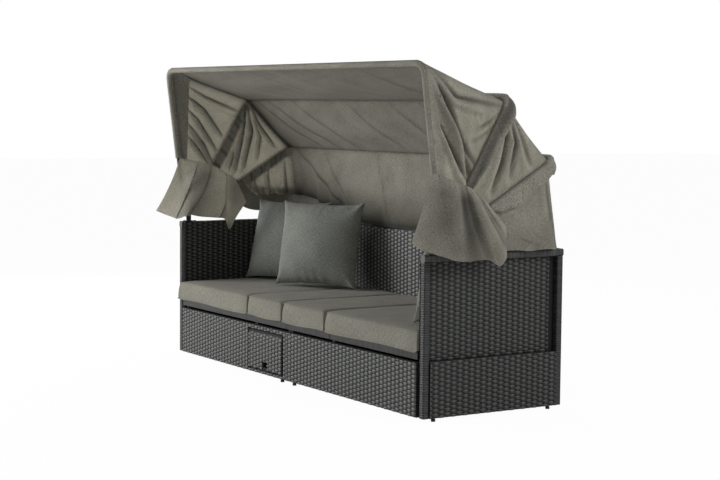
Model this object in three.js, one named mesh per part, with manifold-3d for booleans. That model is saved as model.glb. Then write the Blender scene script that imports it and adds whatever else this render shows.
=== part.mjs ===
import * as THREE from 'three';
import { mergeVertices } from 'three/addons/utils/BufferGeometryUtils.js';
import Module from 'manifold-3d';

// An outdoor daybed with a folding canopy. Two woven modules stand side by side between two arms,
// four lids carry the seat cushions, and three bows turn on a bolt at each arm and carry the cloth.
// Millimetres. X runs along the seat, Y from its front face to the back, Z up from the ground.

// Overall sizes
const overallWidth = 2200;
const overallDepth = 705;
const bodyHeight = 660;
const footHeight = 15;
const clearance = 0.3;
const overrun = 4;

// Arms: a wrapped frame with a woven skin inside and a low apron outside
const armFrame = 30;
const armFrameRounding = 8;
const armSkin = 10;
const armSkinSetback = 8;
const armSkinDrop = 3;
const apronHeight = 229;

// Back, front boards and the walls between the modules
const backThickness = 30;
const moduleGap = 2;
const frontThickness = 22;
const frontHeight = 222;
const frontEndGap = 8;
const wallThickness = 20;

// Bearers and lids
const bearerSide = 25;
const bearerRounding = 3;
const lidRise = 236;
const lidHeight = 36;
const lidRim = 32;
const lidWeb = 10;
const lidGap = 3;
const lidEndGap = 4;
const leftInnerSeat = 325;
const rightInnerSeat = 375;

// Bolts that hold the modules together
const moduleBoltRadius = 4;
const moduleBoltKnobRadius = 12;
const moduleBoltKnob = 6;
const moduleBoltRise = 120;
const moduleBoltFront = 120;
const moduleBoltRearSetback = 115;

// Feet
const footRadius = 9;
const footNeckRadius = 6;
const footNeck = 5;
const outerFootInset = 60;
const innerFootOffset = 55;

// Flap in the left front board, its finger hole and its hinge rod
const flapLeft = 357;
const flapRight = 41;
const flapBottom = 18;
const flapTop = 200;
const flapEdgeGap = 3;
const flapSlot = 17;
const fingerHoleWidth = 40;
const fingerHoleHeight = 25;
const fingerHoleRise = 12;
const hingeRodRadius = 3;
const hingeRodGrip = 12;
const stopThickness = 6;
const stopLap = 10;

// Seat cushions, with their joints measured along X from the middle
const cushionHeight = 68;
const cushionCrown = 22;
const cushionDraw = 7;
const cushionRounding = 14;
const cushionOverhang = 6;
const cushionRearGap = 3;
const cushionGap = 3;
const cushionJointLeft = 375;
const cushionJointMiddle = -47;
const cushionJointRight = 330;

// Pillows: one against the back, one in front of it, and one against the right arm
const pillowWidth = 440;
const pillowHeight = 405;
const pillowThickness = 140;
const pillowDraw = 16;
const rearPillowX = -815;
const rearPillowSetback = 238;
const rearPillowSettle = 4.6;
const rearPillowTurn = THREE.MathUtils.degToRad(25);
const rearPillowLean = THREE.MathUtils.degToRad(16.5);
const frontPillowX = -431;
const frontPillowSetback = 271;
const frontPillowSettle = 0;
const frontPillowTurn = THREE.MathUtils.degToRad(28.5);
const frontPillowLean = THREE.MathUtils.degToRad(11.3);
const armPillowX = 910;
const armPillowSetback = 375;
const armPillowSettle = 5.7;
const armPillowTurn = THREE.MathUtils.degToRad(-90);
const armPillowLean = THREE.MathUtils.degToRad(12);

// Canopy: pivot, bows and their eyes
const pivotY = 50;
const pivotRise = 30;
const bowRadius = 8;
const bowWall = 1.2;
const bowCornerRadius = 50;
const eyeRadius = 11;
const eyeLength = 17.4;
const eyeInset = 7;
const pivotBoltRadius = 4;
const frontBowLength = 734;
const middleBowLength = 689;
const frontBowLean = THREE.MathUtils.degToRad(-7.3);
const middleBowLean = THREE.MathUtils.degToRad(30);
const rearBowLean = THREE.MathUtils.degToRad(59.7);
const rearBowSetback = 60;

// Pivot brackets on the arms
const bracketPlate = 3;
const bracketLength = 60;
const bracketInset = 3;
const bracketEarRadius = 13;
const boltHeadRadius = 8;
const boltHead = 4;
const boltNutRadius = 7.5;
const boltNut = 6;

// Cloth
const clothThickness = 3;
const sleeveLooseness = 0.6;
const sleeveThickness = 1.4;
const clothStandOff = 14;
const clothJoint = 2;
const seamRadius = 290;
const gussetSeamRadius = 330;
const roofSag = 12;
const sideFold = 6;
const sideFolds = 2.5;
const gussetRise = 15;
const gussetOverhang = 18;
const gussetFront = 385;
const gussetCornerRadius = 46;
const rearHemInset = 24;
const rearHemRise = 6;

// Batten that holds the rear hem on the back
const battenThickness = 4;
const battenHeight = 38;
const battenInset = 9;

// Skirts that hang from the seam outside the arms
const skirtJoint = 1.4;
const skirtRearShare = 0.55;
const skirtHemFront = -100;
const skirtHemRear = 385;
const skirtHemFrontRise = 72;
const skirtHemRearRise = 1;
const skirtHemDip = 48;
const skirtFlare = 75;
const skirtFold = 13;
const skirtFolds = 4;

// Counts
const roundSides = 24;
const cornerSides = 3;
const tubeSides = 8;
const bendSteps = 4;
const sideSteps = 5;
const roofSteps = 10;
const spanSteps = 7;
const skirtColumns = 20;
const skirtRows = 6;
const cushionGrid = [8, 6, 2];
const pillowGrid = 10;

// Places worked out from the sizes above
const halfWidth = overallWidth / 2;
const bodyTop = footHeight + bodyHeight;
const skinOuter = halfWidth - armFrame - clearance;
const skinInner = skinOuter - armSkin;
const backFront = overallDepth - backThickness;
const rearBowLength = (overallDepth - rearBowSetback - pivotY) / Math.sin(rearBowLean);
const moduleBoltRear = backFront - moduleBoltRearSetback;
const lidBottom = footHeight + lidRise;
const lidTop = lidBottom + lidHeight;
const cushionTop = lidTop + clearance + cushionHeight + cushionCrown;
const pivotZ = bodyTop + pivotRise;
const earOuter = halfWidth - bracketInset;
const earInner = earOuter - bracketPlate;
const rearBowHalf = earOuter + clearance + eyeLength / 2;
const middleBowHalf = rearBowHalf + eyeLength + clearance;
const frontBowHalf = middleBowHalf + eyeLength + clearance;
const skirtReach = halfWidth + skirtFlare;

const bows = {
  front: { halfWidth: frontBowHalf, length: frontBowLength, lean: frontBowLean },
  middle: { halfWidth: middleBowHalf, length: middleBowLength, lean: middleBowLean },
  rear: { halfWidth: rearBowHalf, length: rearBowLength, lean: rearBowLean },
};

const sides = [
  { word: 'left', sign: -1 },
  { word: 'right', sign: 1 },
];

// Materials
function material(color, roughness, metalness) {
  return () => new THREE.MeshStandardMaterial({ color, roughness, metalness });
}
const rattan = material(0x3f4142, 0.55, 0);
const coatedMetal = material(0x26282a, 0.45, 0.6);
const aluminium = material(0x8d9092, 0.4, 0.9);
const plastic = material(0x17181a, 0.6, 0);
const zincSteel = material(0xa5a8aa, 0.35, 1);
const seatFabric = material(0x8b887d, 0.95, 0);
const pillowFabric = material(0x767872, 0.95, 0);
const canopyFabric = material(0x7d7a70, 0.95, 0);

const daybed = new THREE.Group();

function place(name, geometry, finish, parent = daybed) {
  const mesh = new THREE.Mesh(geometry, finish());
  mesh.name = name;
  parent.add(mesh);
  return mesh;
}

// Booleans on closed meshes
const wasm = await Module();
wasm.setup();

function solidOf(geometry) {
  const bare = geometry.clone();
  bare.deleteAttribute('normal');
  bare.deleteAttribute('uv');
  const merged = mergeVertices(bare);
  return new wasm.Manifold(new wasm.Mesh({
    numProp: 3,
    vertProperties: new Float32Array(merged.attributes.position.array),
    triVerts: new Uint32Array(merged.index.array),
  }));
}

function geometryOf(solid) {
  const mesh = solid.getMesh();
  const geometry = new THREE.BufferGeometry();
  geometry.setAttribute('position', new THREE.BufferAttribute(mesh.vertProperties, 3));
  geometry.setIndex(new THREE.BufferAttribute(mesh.triVerts, 1));
  const faceted = geometry.toNonIndexed();
  faceted.computeVertexNormals();
  return faceted;
}

function cut(geometry, ...tools) {
  return geometryOf(tools.reduce((solid, tool) => solid.subtract(solidOf(tool)), solidOf(geometry)));
}

function join(geometry, ...others) {
  return geometryOf(others.reduce((solid, other) => solid.add(solidOf(other)), solidOf(geometry)));
}

// A box between two opposite corners, given in either order
function block(x0, x1, y0, y1, z0, z1) {
  const box = new THREE.BoxGeometry(Math.abs(x1 - x0), Math.abs(y1 - y0), Math.abs(z1 - z0));
  box.translate((x0 + x1) / 2, (y0 + y1) / 2, (z0 + z1) / 2);
  return box;
}

function roundedSection(width, height, radius) {
  const shape = new THREE.Shape();
  const x = width / 2 - radius;
  const y = height / 2 - radius;
  shape.absarc(x, -y, radius, -Math.PI / 2, 0);
  shape.absarc(x, y, radius, 0, Math.PI / 2);
  shape.absarc(-x, y, radius, Math.PI / 2, Math.PI);
  shape.absarc(-x, -y, radius, Math.PI, 1.5 * Math.PI);
  return shape;
}

function prism(shape, depth, curveSegments = tubeSides) {
  return new THREE.ExtrudeGeometry(shape, { depth, bevelEnabled: false, curveSegments });
}

// A bar with rounded edges, standing along Z from zero, or lying along Y
function bar(width, height, radius, length) {
  return prism(roundedSection(width, height, radius), length, cornerSides);
}

function barAlongY(width, height, radius, length) {
  return bar(width, height, radius, length).rotateX(-Math.PI / 2);
}

// A turned piece on the X axis: each point is a place along the axis and a radius there
function turnedOnX(points) {
  const profile = points.map(([along, radius]) => new THREE.Vector2(radius, along));
  return new THREE.LatheGeometry(profile, roundSides).rotateZ(-Math.PI / 2);
}

function rodAlongX(x0, x1, radius) {
  const low = Math.min(x0, x1);
  const high = Math.max(x0, x1);
  return turnedOnX([[low, 0], [low, radius], [high, radius], [high, 0]]);
}

// Arms
function buildArm({ word, sign }) {
  const post = () => bar(armFrame, armFrame, armFrameRounding, bodyHeight - armFrame - clearance);
  const frameX = sign * (halfWidth - armFrame / 2);
  place(`${word}_arm_front_post`, post(), rattan).position.set(frameX, armFrame / 2, footHeight);
  place(`${word}_arm_rear_post`, post(), rattan)
    .position.set(frameX, overallDepth - armFrame / 2, footHeight);
  const rail = barAlongY(armFrame, armFrame, armFrameRounding, overallDepth);
  place(`${word}_arm_top_rail`, rail, rattan).position.set(frameX, 0, bodyTop - armFrame / 2);
  const apron = block(
    sign * (halfWidth - armFrame), sign * halfWidth,
    armFrame + clearance, overallDepth - armFrame - clearance,
    footHeight, footHeight + apronHeight,
  );
  place(`${word}_arm_apron`, apron, rattan);
  const skin = block(
    sign * skinInner, sign * skinOuter,
    armSkinSetback, backFront - clearance,
    footHeight, bodyTop - armSkinDrop,
  );
  place(`${word}_arm_panel`, skin, rattan);
}

// Back boards, one for each module
function buildBack({ word, sign }) {
  const board = block(
    sign * moduleGap / 2, sign * (halfWidth - armFrame - clearance),
    backFront, overallDepth,
    footHeight, bodyTop,
  );
  place(`${word}_back_panel`, board, rattan);
}

// Front boards: the left one has the opening for the flap and the bore for its hinge rod
const flapRounding = frontThickness / 2;
const hingeY = flapRounding;
const hingeZ = footHeight + flapTop - flapRounding;
const rodLeft = -flapLeft - hingeRodGrip;
const rodRight = -flapRight + flapSlot + hingeRodGrip;

function hingeBore() {
  const bore = rodAlongX(rodLeft - clearance, rodRight + clearance, hingeRodRadius + clearance);
  return bore.translate(0, hingeY, hingeZ);
}

function buildFront({ word, sign }) {
  const board = block(
    sign * moduleGap / 2, sign * (skinInner - frontEndGap),
    0, frontThickness,
    footHeight, footHeight + frontHeight,
  );
  if (sign > 0) {
    place(`${word}_front_panel`, board, rattan);
    return;
  }
  const opening = block(
    -flapLeft - flapEdgeGap, -flapRight + flapSlot,
    -overrun, frontThickness + overrun,
    footHeight + flapBottom - flapEdgeGap, footHeight + flapTop + flapEdgeGap,
  );
  place(`${word}_front_panel`, cut(board, opening, hingeBore()), rattan);
}

function buildFlap() {
  const height = flapTop - flapBottom;
  const width = flapLeft - flapRight;
  const middle = -(flapLeft + flapRight) / 2;
  const profile = new THREE.Shape();
  profile.moveTo(0, 0);
  profile.lineTo(frontThickness, 0);
  profile.lineTo(frontThickness, height - flapRounding);
  profile.absarc(flapRounding, height - flapRounding, flapRounding, 0, Math.PI);
  profile.lineTo(0, 0);
  const board = prism(profile, width);
  board.rotateX(Math.PI / 2).rotateZ(Math.PI / 2);
  board.translate(-flapLeft, 0, footHeight + flapBottom);
  const hole = block(
    middle - fingerHoleWidth / 2, middle + fingerHoleWidth / 2,
    -overrun, frontThickness + overrun,
    footHeight + flapBottom + fingerHoleRise, footHeight + flapBottom + fingerHoleRise + fingerHoleHeight,
  );
  place('flap', cut(board, hole, hingeBore()), rattan);
  place('flap_hinge_rod', rodAlongX(rodLeft, rodRight, hingeRodRadius), zincSteel)
    .position.set(0, hingeY, hingeZ);
  const stop = block(
    -flapLeft, -flapRight,
    frontThickness + clearance, frontThickness + clearance + stopThickness,
    footHeight + flapBottom - flapEdgeGap - stopLap, footHeight + flapBottom + stopLap,
  );
  place('flap_stop', stop, aluminium);
}

// Inner walls, with holes for the bolts that hold the modules together
function buildWall({ word, sign }) {
  const front = frontThickness + clearance;
  const rear = backFront - clearance;
  const near = sign * moduleGap / 2;
  const far = near + sign * wallThickness;
  const wall = block(near, far, front, rear, footHeight, lidBottom - clearance);
  const holes = [moduleBoltFront, moduleBoltRear].map((y) => {
    const hole = rodAlongX(near - sign * overrun, far + sign * overrun, moduleBoltRadius + clearance);
    return hole.translate(0, y, footHeight + moduleBoltRise);
  });
  place(`${word}_inner_wall`, cut(wall, ...holes), aluminium);
}

function buildModuleBolt(word, y) {
  const inner = moduleGap / 2 + wallThickness + clearance;
  const outer = inner + moduleBoltKnob;
  const bolt = turnedOnX([
    [-outer, 0], [-outer, moduleBoltKnobRadius], [-inner, moduleBoltKnobRadius], [-inner, moduleBoltRadius],
    [inner, moduleBoltRadius], [inner, moduleBoltKnobRadius], [outer, moduleBoltKnobRadius], [outer, 0],
  ]);
  place(`${word}_module_bolt`, bolt, zincSteel).position.set(0, y, footHeight + moduleBoltRise);
}

// Bearers run from the front board to the back and carry the lids
function buildBearers({ word, sign }, joint) {
  const length = backFront - frontThickness - 2 * clearance;
  const z = lidBottom - clearance - bearerSide / 2;
  const tube = () => barAlongY(bearerSide, bearerSide, bearerRounding, length);
  const outerX = sign * (skinInner - clearance - bearerSide / 2);
  place(`${word}_middle_bearer`, tube(), aluminium).position.set(sign * joint, frontThickness + clearance, z);
  place(`${word}_outer_bearer`, tube(), aluminium).position.set(outerX, frontThickness + clearance, z);
}

// Lids: a wrapped rim with a thinner woven top, open below
function buildLid(name, x0, x1) {
  const rear = backFront - lidEndGap;
  const body = block(x0, x1, 0, rear, lidBottom, lidTop);
  const pocket = block(
    x0 + lidRim, x1 - lidRim,
    lidRim, rear - lidRim,
    lidBottom - overrun, lidTop - lidWeb,
  );
  place(name, cut(body, pocket), rattan);
}

function buildLids() {
  const end = skinInner - lidEndGap;
  const half = lidGap / 2;
  buildLid('left_outer_lid', -end, -leftInnerSeat - half);
  buildLid('left_inner_lid', -leftInnerSeat + half, -half);
  buildLid('right_inner_lid', half, rightInnerSeat - half);
  buildLid('right_outer_lid', rightInnerSeat + half, end);
}

// Feet: a turned glide with a neck that seats under the woven body
function buildFoot(name, x, y) {
  const neckBottom = footHeight - footNeck;
  const profile = [
    [0, 0], [footRadius, 0], [footRadius, neckBottom], [footNeckRadius, neckBottom],
    [footNeckRadius, footHeight - clearance], [0, footHeight - clearance],
  ];
  const points = profile.map(([radius, height]) => new THREE.Vector2(radius, height));
  const foot = new THREE.LatheGeometry(points, tubeSides).rotateX(Math.PI / 2);
  place(name, foot, plastic).position.set(x, y, 0);
}

function buildFeet({ word, sign }) {
  const outerX = sign * (halfWidth - armFrame / 2);
  const innerX = sign * innerFootOffset;
  buildFoot(`${word}_front_outer_foot`, outerX, outerFootInset);
  buildFoot(`${word}_rear_outer_foot`, outerX, overallDepth - outerFootInset);
  buildFoot(`${word}_front_inner_foot`, innerX, frontThickness / 2);
  buildFoot(`${word}_rear_inner_foot`, innerX, overallDepth - backThickness / 2);
}

// Seat cushions: a boxed cushion with a crowned top and sides drawn in between its corners
function cushionGeometry(width, depth) {
  const [across, along, up] = cushionGrid;
  const box = new THREE.BoxGeometry(width, depth, cushionHeight, across, along, up);
  const position = box.getAttribute('position');
  const p = new THREE.Vector3();
  for (let i = 0; i < position.count; i += 1) {
    p.fromBufferAttribute(position, i);
    const across1 = (2 * p.x) / width;
    const along1 = (2 * p.y) / depth;
    const up1 = (2 * p.z) / cushionHeight;
    const middleX = 1 - across1 ** 4;
    const middleY = 1 - along1 ** 4;
    const round = cushionRounding * Math.abs(across1 * along1) ** 6;
    p.x -= Math.sign(across1) * Math.abs(across1) ** 3 * (cushionDraw * middleY * up1 ** 2 + round);
    p.y -= Math.sign(along1) * Math.abs(along1) ** 3 * (cushionDraw * middleX * up1 ** 2 + round);
    p.z += cushionHeight / 2;
    if (up1 > 0) p.z += cushionCrown * up1 * middleX * middleY;
    position.setXYZ(i, p.x, p.y, p.z);
  }
  return box;
}

function buildCushion(name, x0, x1) {
  const depth = backFront - cushionRearGap + cushionOverhang;
  const cushion = place(name, cushionGeometry(x1 - x0, depth), seatFabric);
  cushion.position.set((x0 + x1) / 2, depth / 2 - cushionOverhang, lidTop + clearance);
}

function buildCushions() {
  const end = skinInner - cushionGap;
  const half = cushionGap / 2;
  buildCushion('left_outer_cushion', -end, -cushionJointLeft - half);
  buildCushion('left_inner_cushion', -cushionJointLeft + half, cushionJointMiddle - half);
  buildCushion('right_inner_cushion', cushionJointMiddle + half, cushionJointRight - half);
  buildCushion('right_outer_cushion', cushionJointRight + half, end);
}

// Pillows: two faces that swell from a shared edge, whose sides are drawn in between sharp corners
function pillowGeometry() {
  const points = [];
  const index = [];
  const columns = pillowGrid + 1;
  for (const face of [-1, 1]) {
    for (let row = 0; row <= pillowGrid; row += 1) {
      for (let column = 0; column <= pillowGrid; column += 1) {
        const s = Math.sin(Math.PI * (column / pillowGrid - 0.5));
        const t = Math.sin(Math.PI * (row / pillowGrid - 0.5));
        const swell = Math.sqrt(Math.max(0, (1 - s ** 2) * (1 - t ** 2)));
        const x = s * (pillowWidth / 2 - pillowDraw * (1 - t ** 2));
        const z = pillowHeight / 2 + t * (pillowHeight / 2 - pillowDraw * (1 - s ** 2));
        points.push(x, (face * pillowThickness * swell ** 0.8) / 2, z);
      }
    }
  }
  const faceSize = columns * columns;
  for (const [face, start] of [[-1, 0], [1, faceSize]]) {
    for (let row = 0; row < pillowGrid; row += 1) {
      for (let column = 0; column < pillowGrid; column += 1) {
        const a = start + row * columns + column;
        const b = a + 1;
        const c = a + columns;
        const d = c + 1;
        if (face < 0) index.push(a, b, d, a, d, c);
        else index.push(a, d, b, a, c, d);
      }
    }
  }
  const geometry = new THREE.BufferGeometry();
  geometry.setAttribute('position', new THREE.Float32BufferAttribute(points, 3));
  geometry.setIndex(index);
  geometry.computeVertexNormals();
  return geometry;
}

function buildPillow(name, x, setback, settle, turn, lean) {
  const stand = new THREE.Group();
  stand.position.set(x, backFront - setback, cushionTop - settle);
  stand.rotation.z = turn;
  const pillow = place(name, pillowGeometry(), pillowFabric, stand);
  pillow.rotation.x = -lean;
  daybed.add(stand);
}

function buildPillows() {
  buildPillow(
    'left_rear_pillow', rearPillowX, rearPillowSetback,
    rearPillowSettle, rearPillowTurn, rearPillowLean,
  );
  buildPillow(
    'left_front_pillow', frontPillowX, frontPillowSetback,
    frontPillowSettle, frontPillowTurn, frontPillowLean,
  );
  buildPillow(
    'right_arm_pillow', armPillowX, armPillowSetback,
    armPillowSettle, armPillowTurn, armPillowLean,
  );
}

// A path that is stepped only at its ends and round its bends
class BentPath extends THREE.Curve {
  constructor(stations, directions) {
    super();
    this.stations = stations;
    this.directions = directions;
  }

  getPoint(share) {
    const at = share * (this.stations.length - 1);
    const i = Math.min(Math.floor(at), this.stations.length - 2);
    return this.stations[i].clone().lerp(this.stations[i + 1], at - i);
  }

  getPointAt(share) {
    return this.getPoint(share);
  }

  getTangentAt(share) {
    return this.directions[Math.round(share * (this.directions.length - 1))].clone();
  }
}

// The route of a bow in its own plane: up one leg from a start radius, across, and down the other
function bowPath({ halfWidth: half, length }, start) {
  const stations = [new THREE.Vector3(-half, 0, start)];
  const directions = [new THREE.Vector3(0, 0, 1)];
  for (const side of [-1, 1]) {
    for (let step = 0; step <= bendSteps; step += 1) {
      const angle = (Math.PI / 2) * (step / bendSteps);
      const rise = side < 0 ? Math.sin(angle) : Math.cos(angle);
      const reach = side < 0 ? Math.cos(angle) : Math.sin(angle);
      const x = side * (half - bowCornerRadius + bowCornerRadius * reach);
      stations.push(new THREE.Vector3(x, 0, length - bowCornerRadius + bowCornerRadius * rise));
      directions.push(new THREE.Vector3(rise, 0, -side * reach));
    }
  }
  stations.push(new THREE.Vector3(half, 0, start));
  directions.push(new THREE.Vector3(0, 0, -1));
  return new BentPath(stations, directions);
}

function alongPath(shape, path) {
  const steps = path.stations.length - 1;
  return new THREE.ExtrudeGeometry(shape, { steps, extrudePath: path, curveSegments: tubeSides });
}

function circle(radius) {
  return new THREE.Shape().absarc(0, 0, radius, 0, 2 * Math.PI);
}

function eyeAt(x) {
  const bore = pivotBoltRadius + clearance;
  const half = eyeLength / 2;
  return turnedOnX([
    [x - half, bore], [x - half, eyeRadius], [x + half, eyeRadius],
    [x + half, bore], [x - half, bore],
  ]);
}

// Bows with their cloth sleeves, turned to their lean about the pivot
function buildBow(word, bow) {
  const plane = new THREE.Group();
  plane.position.set(0, pivotY, pivotZ);
  plane.rotation.x = -bow.lean;
  const rod = alongPath(circle(bowRadius), bowPath(bow, eyeInset));
  const hollow = alongPath(circle(bowRadius - bowWall), bowPath(bow, 0));
  const solid = join(rod, eyeAt(-bow.halfWidth), eyeAt(bow.halfWidth));
  place(`${word}_bow`, cut(solid, hollow), coatedMetal, plane);
  const ring = circle(bowRadius + sleeveLooseness + sleeveThickness);
  ring.holes.push(new THREE.Path().absarc(0, 0, bowRadius + sleeveLooseness, 0, 2 * Math.PI, true));
  const start = word === 'rear' ? gussetSeamRadius : seamRadius;
  place(`${word}_sleeve`, alongPath(ring, bowPath(bow, start)), canopyFabric, plane);
  daybed.add(plane);
}

// Brackets on the arms, with the bows stacked on a bolt outside each one
function buildBracket({ word, sign }) {
  const base = block(
    halfWidth - armFrame + clearance, earOuter,
    pivotY - bracketLength / 2, pivotY + bracketLength / 2,
    bodyTop + clearance, bodyTop + clearance + bracketPlate,
  );
  const outline = new THREE.Shape();
  outline.moveTo(-bracketEarRadius, clearance - pivotRise);
  outline.lineTo(bracketEarRadius, clearance - pivotRise);
  outline.lineTo(bracketEarRadius, 0);
  outline.absarc(0, 0, bracketEarRadius, 0, Math.PI);
  outline.lineTo(-bracketEarRadius, clearance - pivotRise);
  outline.holes.push(new THREE.Path().absarc(0, 0, pivotBoltRadius + clearance, 0, 2 * Math.PI, true));
  const ear = prism(outline, bracketPlate);
  ear.rotateX(Math.PI / 2).rotateZ(Math.PI / 2).translate(earInner, pivotY, pivotZ);
  const bracket = place(`${word}_pivot_bracket`, join(base, ear), coatedMetal);
  if (sign < 0) bracket.rotation.z = Math.PI;
  if (sign < 0) bracket.position.y = 2 * pivotY;
}

function buildPivotBolt({ word, sign }) {
  const head = frontBowHalf + eyeLength / 2 + clearance;
  const nut = earInner - clearance;
  const bolt = turnedOnX([
    [nut - boltNut, 0], [nut - boltNut, boltNutRadius], [nut, boltNutRadius], [nut, pivotBoltRadius],
    [head, pivotBoltRadius], [head, boltHeadRadius], [head + boltHead, boltHeadRadius], [head + boltHead, 0],
  ]);
  const mesh = place(`${word}_pivot_bolt`, bolt, zincSteel);
  mesh.position.set(0, pivotY, pivotZ);
  if (sign < 0) mesh.rotation.z = Math.PI;
}

// A closed sheet of cloth round a grid of points on its middle surface
function sheetGeometry(grid) {
  const rows = grid.length;
  const columns = grid[0].length;
  const at = (i, j) => grid[Math.max(0, Math.min(rows - 1, i))][Math.max(0, Math.min(columns - 1, j))];
  const points = [];
  for (const face of [1, -1]) {
    for (let i = 0; i < rows; i += 1) {
      for (let j = 0; j < columns; j += 1) {
        const down = at(i + 1, j).clone().sub(at(i - 1, j));
        const across = at(i, j + 1).clone().sub(at(i, j - 1));
        const normal = down.cross(across).normalize();
        points.push(...at(i, j).clone().addScaledVector(normal, (face * clothThickness) / 2).toArray());
      }
    }
  }
  const index = [];
  const faceSize = rows * columns;
  const quad = (a, b, c, d) => index.push(a, b, c, a, c, d);
  for (let i = 0; i < rows - 1; i += 1) {
    for (let j = 0; j < columns - 1; j += 1) {
      const a = i * columns + j;
      quad(a, a + columns, a + columns + 1, a + 1);
      quad(a + faceSize, a + 1 + faceSize, a + columns + 1 + faceSize, a + columns + faceSize);
    }
  }
  const rim = [];
  for (let j = 0; j < columns - 1; j += 1) rim.push(j);
  for (let i = 0; i < rows - 1; i += 1) rim.push(i * columns + columns - 1);
  for (let j = columns - 1; j > 0; j -= 1) rim.push((rows - 1) * columns + j);
  for (let i = rows - 1; i > 0; i -= 1) rim.push(i * columns);
  rim.forEach((a, k) => {
    const b = rim[(k + 1) % rim.length];
    quad(a, b, b + faceSize, a + faceSize);
  });
  const geometry = new THREE.BufferGeometry();
  geometry.setAttribute('position', new THREE.Float32BufferAttribute(points, 3));
  geometry.setIndex(index);
  geometry.computeVertexNormals();
  return geometry;
}

// Stations round a frame, from the foot of its left side, over the top, to the foot of its right side.
// Each says how far up the side, round the corner or along the top it lies.
function stations() {
  const list = [];
  for (let k = 0; k <= sideSteps; k += 1) list.push({ part: 'side', share: k / sideSteps, sign: -1 });
  for (let k = 1; k < bendSteps; k += 1) list.push({ part: 'corner', share: k / bendSteps, sign: -1 });
  for (let k = 0; k <= roofSteps; k += 1) list.push({ part: 'roof', share: k / roofSteps, sign: 0 });
  for (let k = bendSteps - 1; k > 0; k -= 1) list.push({ part: 'corner', share: k / bendSteps, sign: 1 });
  for (let k = sideSteps; k >= 0; k -= 1) list.push({ part: 'side', share: k / sideSteps, sign: 1 });
  return list;
}

// The line of the cloth over a bow, at each station
function bowLine(bow, start) {
  const reach = bow.halfWidth + clothStandOff;
  const top = bow.length + clothStandOff;
  const radius = bowCornerRadius + clothStandOff;
  return stations().map(({ part, share, sign }) => {
    const angle = (Math.PI / 2) * share;
    let x = sign * reach;
    let along = start + (top - radius - start) * share;
    if (part === 'corner') {
      x = sign * (reach - radius + radius * Math.cos(angle));
      along = top - radius + radius * Math.sin(angle);
    }
    if (part === 'roof') {
      x = (reach - radius) * (2 * share - 1);
      along = top;
    }
    return new THREE.Vector3(x, pivotY + along * Math.sin(bow.lean), pivotZ + along * Math.cos(bow.lean));
  });
}

// The line where the rear cloth ends: along each arm and across the batten on the back
function hemLine() {
  const reach = halfWidth + gussetOverhang;
  const rear = backFront - rearHemInset / 2;
  const armZ = bodyTop + gussetRise;
  const backZ = bodyTop + rearHemRise;
  const radius = gussetCornerRadius;
  return stations().map(({ part, share, sign }) => {
    const angle = (Math.PI / 2) * share;
    if (part === 'roof') return new THREE.Vector3((reach - radius) * (2 * share - 1), rear, backZ);
    if (part === 'side') {
      return new THREE.Vector3(sign * reach, gussetFront + (rear - radius - gussetFront) * share, armZ);
    }
    const x = sign * (reach - radius + radius * Math.cos(angle));
    return new THREE.Vector3(x, rear - radius + radius * Math.sin(angle), armZ + (backZ - armZ) * share);
  });
}

// A panel between two lines: the roof sags and the sides lie in shallow slanting folds
function panelGeometry(from, to) {
  const marks = stations();
  const grid = [];
  for (let row = 0; row <= spanSteps; row += 1) {
    grid.push(marks.map(({ part, share, sign }, i) => {
      const span = from[i].distanceTo(to[i]);
      const edge = clothJoint / 2 / span;
      const v = edge + (1 - 2 * edge) * (row / spanSteps);
      const point = from[i].clone().lerp(to[i], v);
      const swell = Math.sin(Math.PI * v);
      const roofShare = part === 'roof' ? 1 : part === 'corner' ? share : 0;
      const inward = new THREE.Vector3(0, pivotY - point.y, pivotZ - point.z).normalize();
      point.addScaledVector(inward, roofSag * swell * roofShare);
      const fold = (1 - Math.cos(2 * Math.PI * sideFolds * (share + v / 2))) / 2;
      if (part === 'side') point.x -= sign * sideFold * swell * fold * Math.sin(Math.PI * share);
      return point;
    }));
  }
  return sheetGeometry(grid);
}

function buildPanels() {
  const front = bowLine(bows.front, seamRadius);
  const middle = bowLine(bows.middle, seamRadius);
  const rear = bowLine(bows.rear, gussetSeamRadius);
  place('front_canopy_panel', panelGeometry(front, middle), canopyFabric);
  place('middle_canopy_panel', panelGeometry(middle, rear), canopyFabric);
  place('rear_canopy_panel', panelGeometry(rear, hemLine()), canopyFabric);
}

// Skirts: cloth that falls from the seam over the arm, flaring out in folds
function seamPoint(share) {
  const seam = (bow, start) => new THREE.Vector3(
    bow.halfWidth + clothStandOff,
    pivotY + start * Math.sin(bow.lean),
    pivotZ + start * Math.cos(bow.lean),
  );
  const front = seam(bows.front, seamRadius - skirtJoint);
  const middle = seam(bows.middle, seamRadius - skirtJoint);
  const rear = seam(bows.rear, gussetSeamRadius - skirtJoint);
  const at = share * (1 + skirtRearShare);
  return at < 1 ? front.lerp(middle, at) : middle.lerp(rear, at - 1);
}

function skirtPoint(s, v) {
  const rise = skirtHemFrontRise + (skirtHemRearRise - skirtHemFrontRise) * s;
  const hem = new THREE.Vector3(
    skirtReach,
    skirtHemFront + (skirtHemRear - skirtHemFront) * s,
    bodyTop + rise - skirtHemDip * Math.sin(Math.PI * s),
  );
  const point = seamPoint(s).lerp(hem, v);
  point.x += skirtFold * v ** 1.5 * Math.sin(2 * Math.PI * skirtFolds * s);
  return point;
}

function buildSkirt({ word, sign }) {
  const grid = [];
  for (let row = 0; row <= skirtRows; row += 1) {
    const line = [];
    for (let column = 0; column <= skirtColumns; column += 1) {
      const point = skirtPoint(column / skirtColumns, row / skirtRows);
      point.x *= sign;
      line.push(point);
    }
    grid.push(sign > 0 ? line : line.reverse());
  }
  place(`${word}_skirt`, sheetGeometry(grid), canopyFabric);
}

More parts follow.
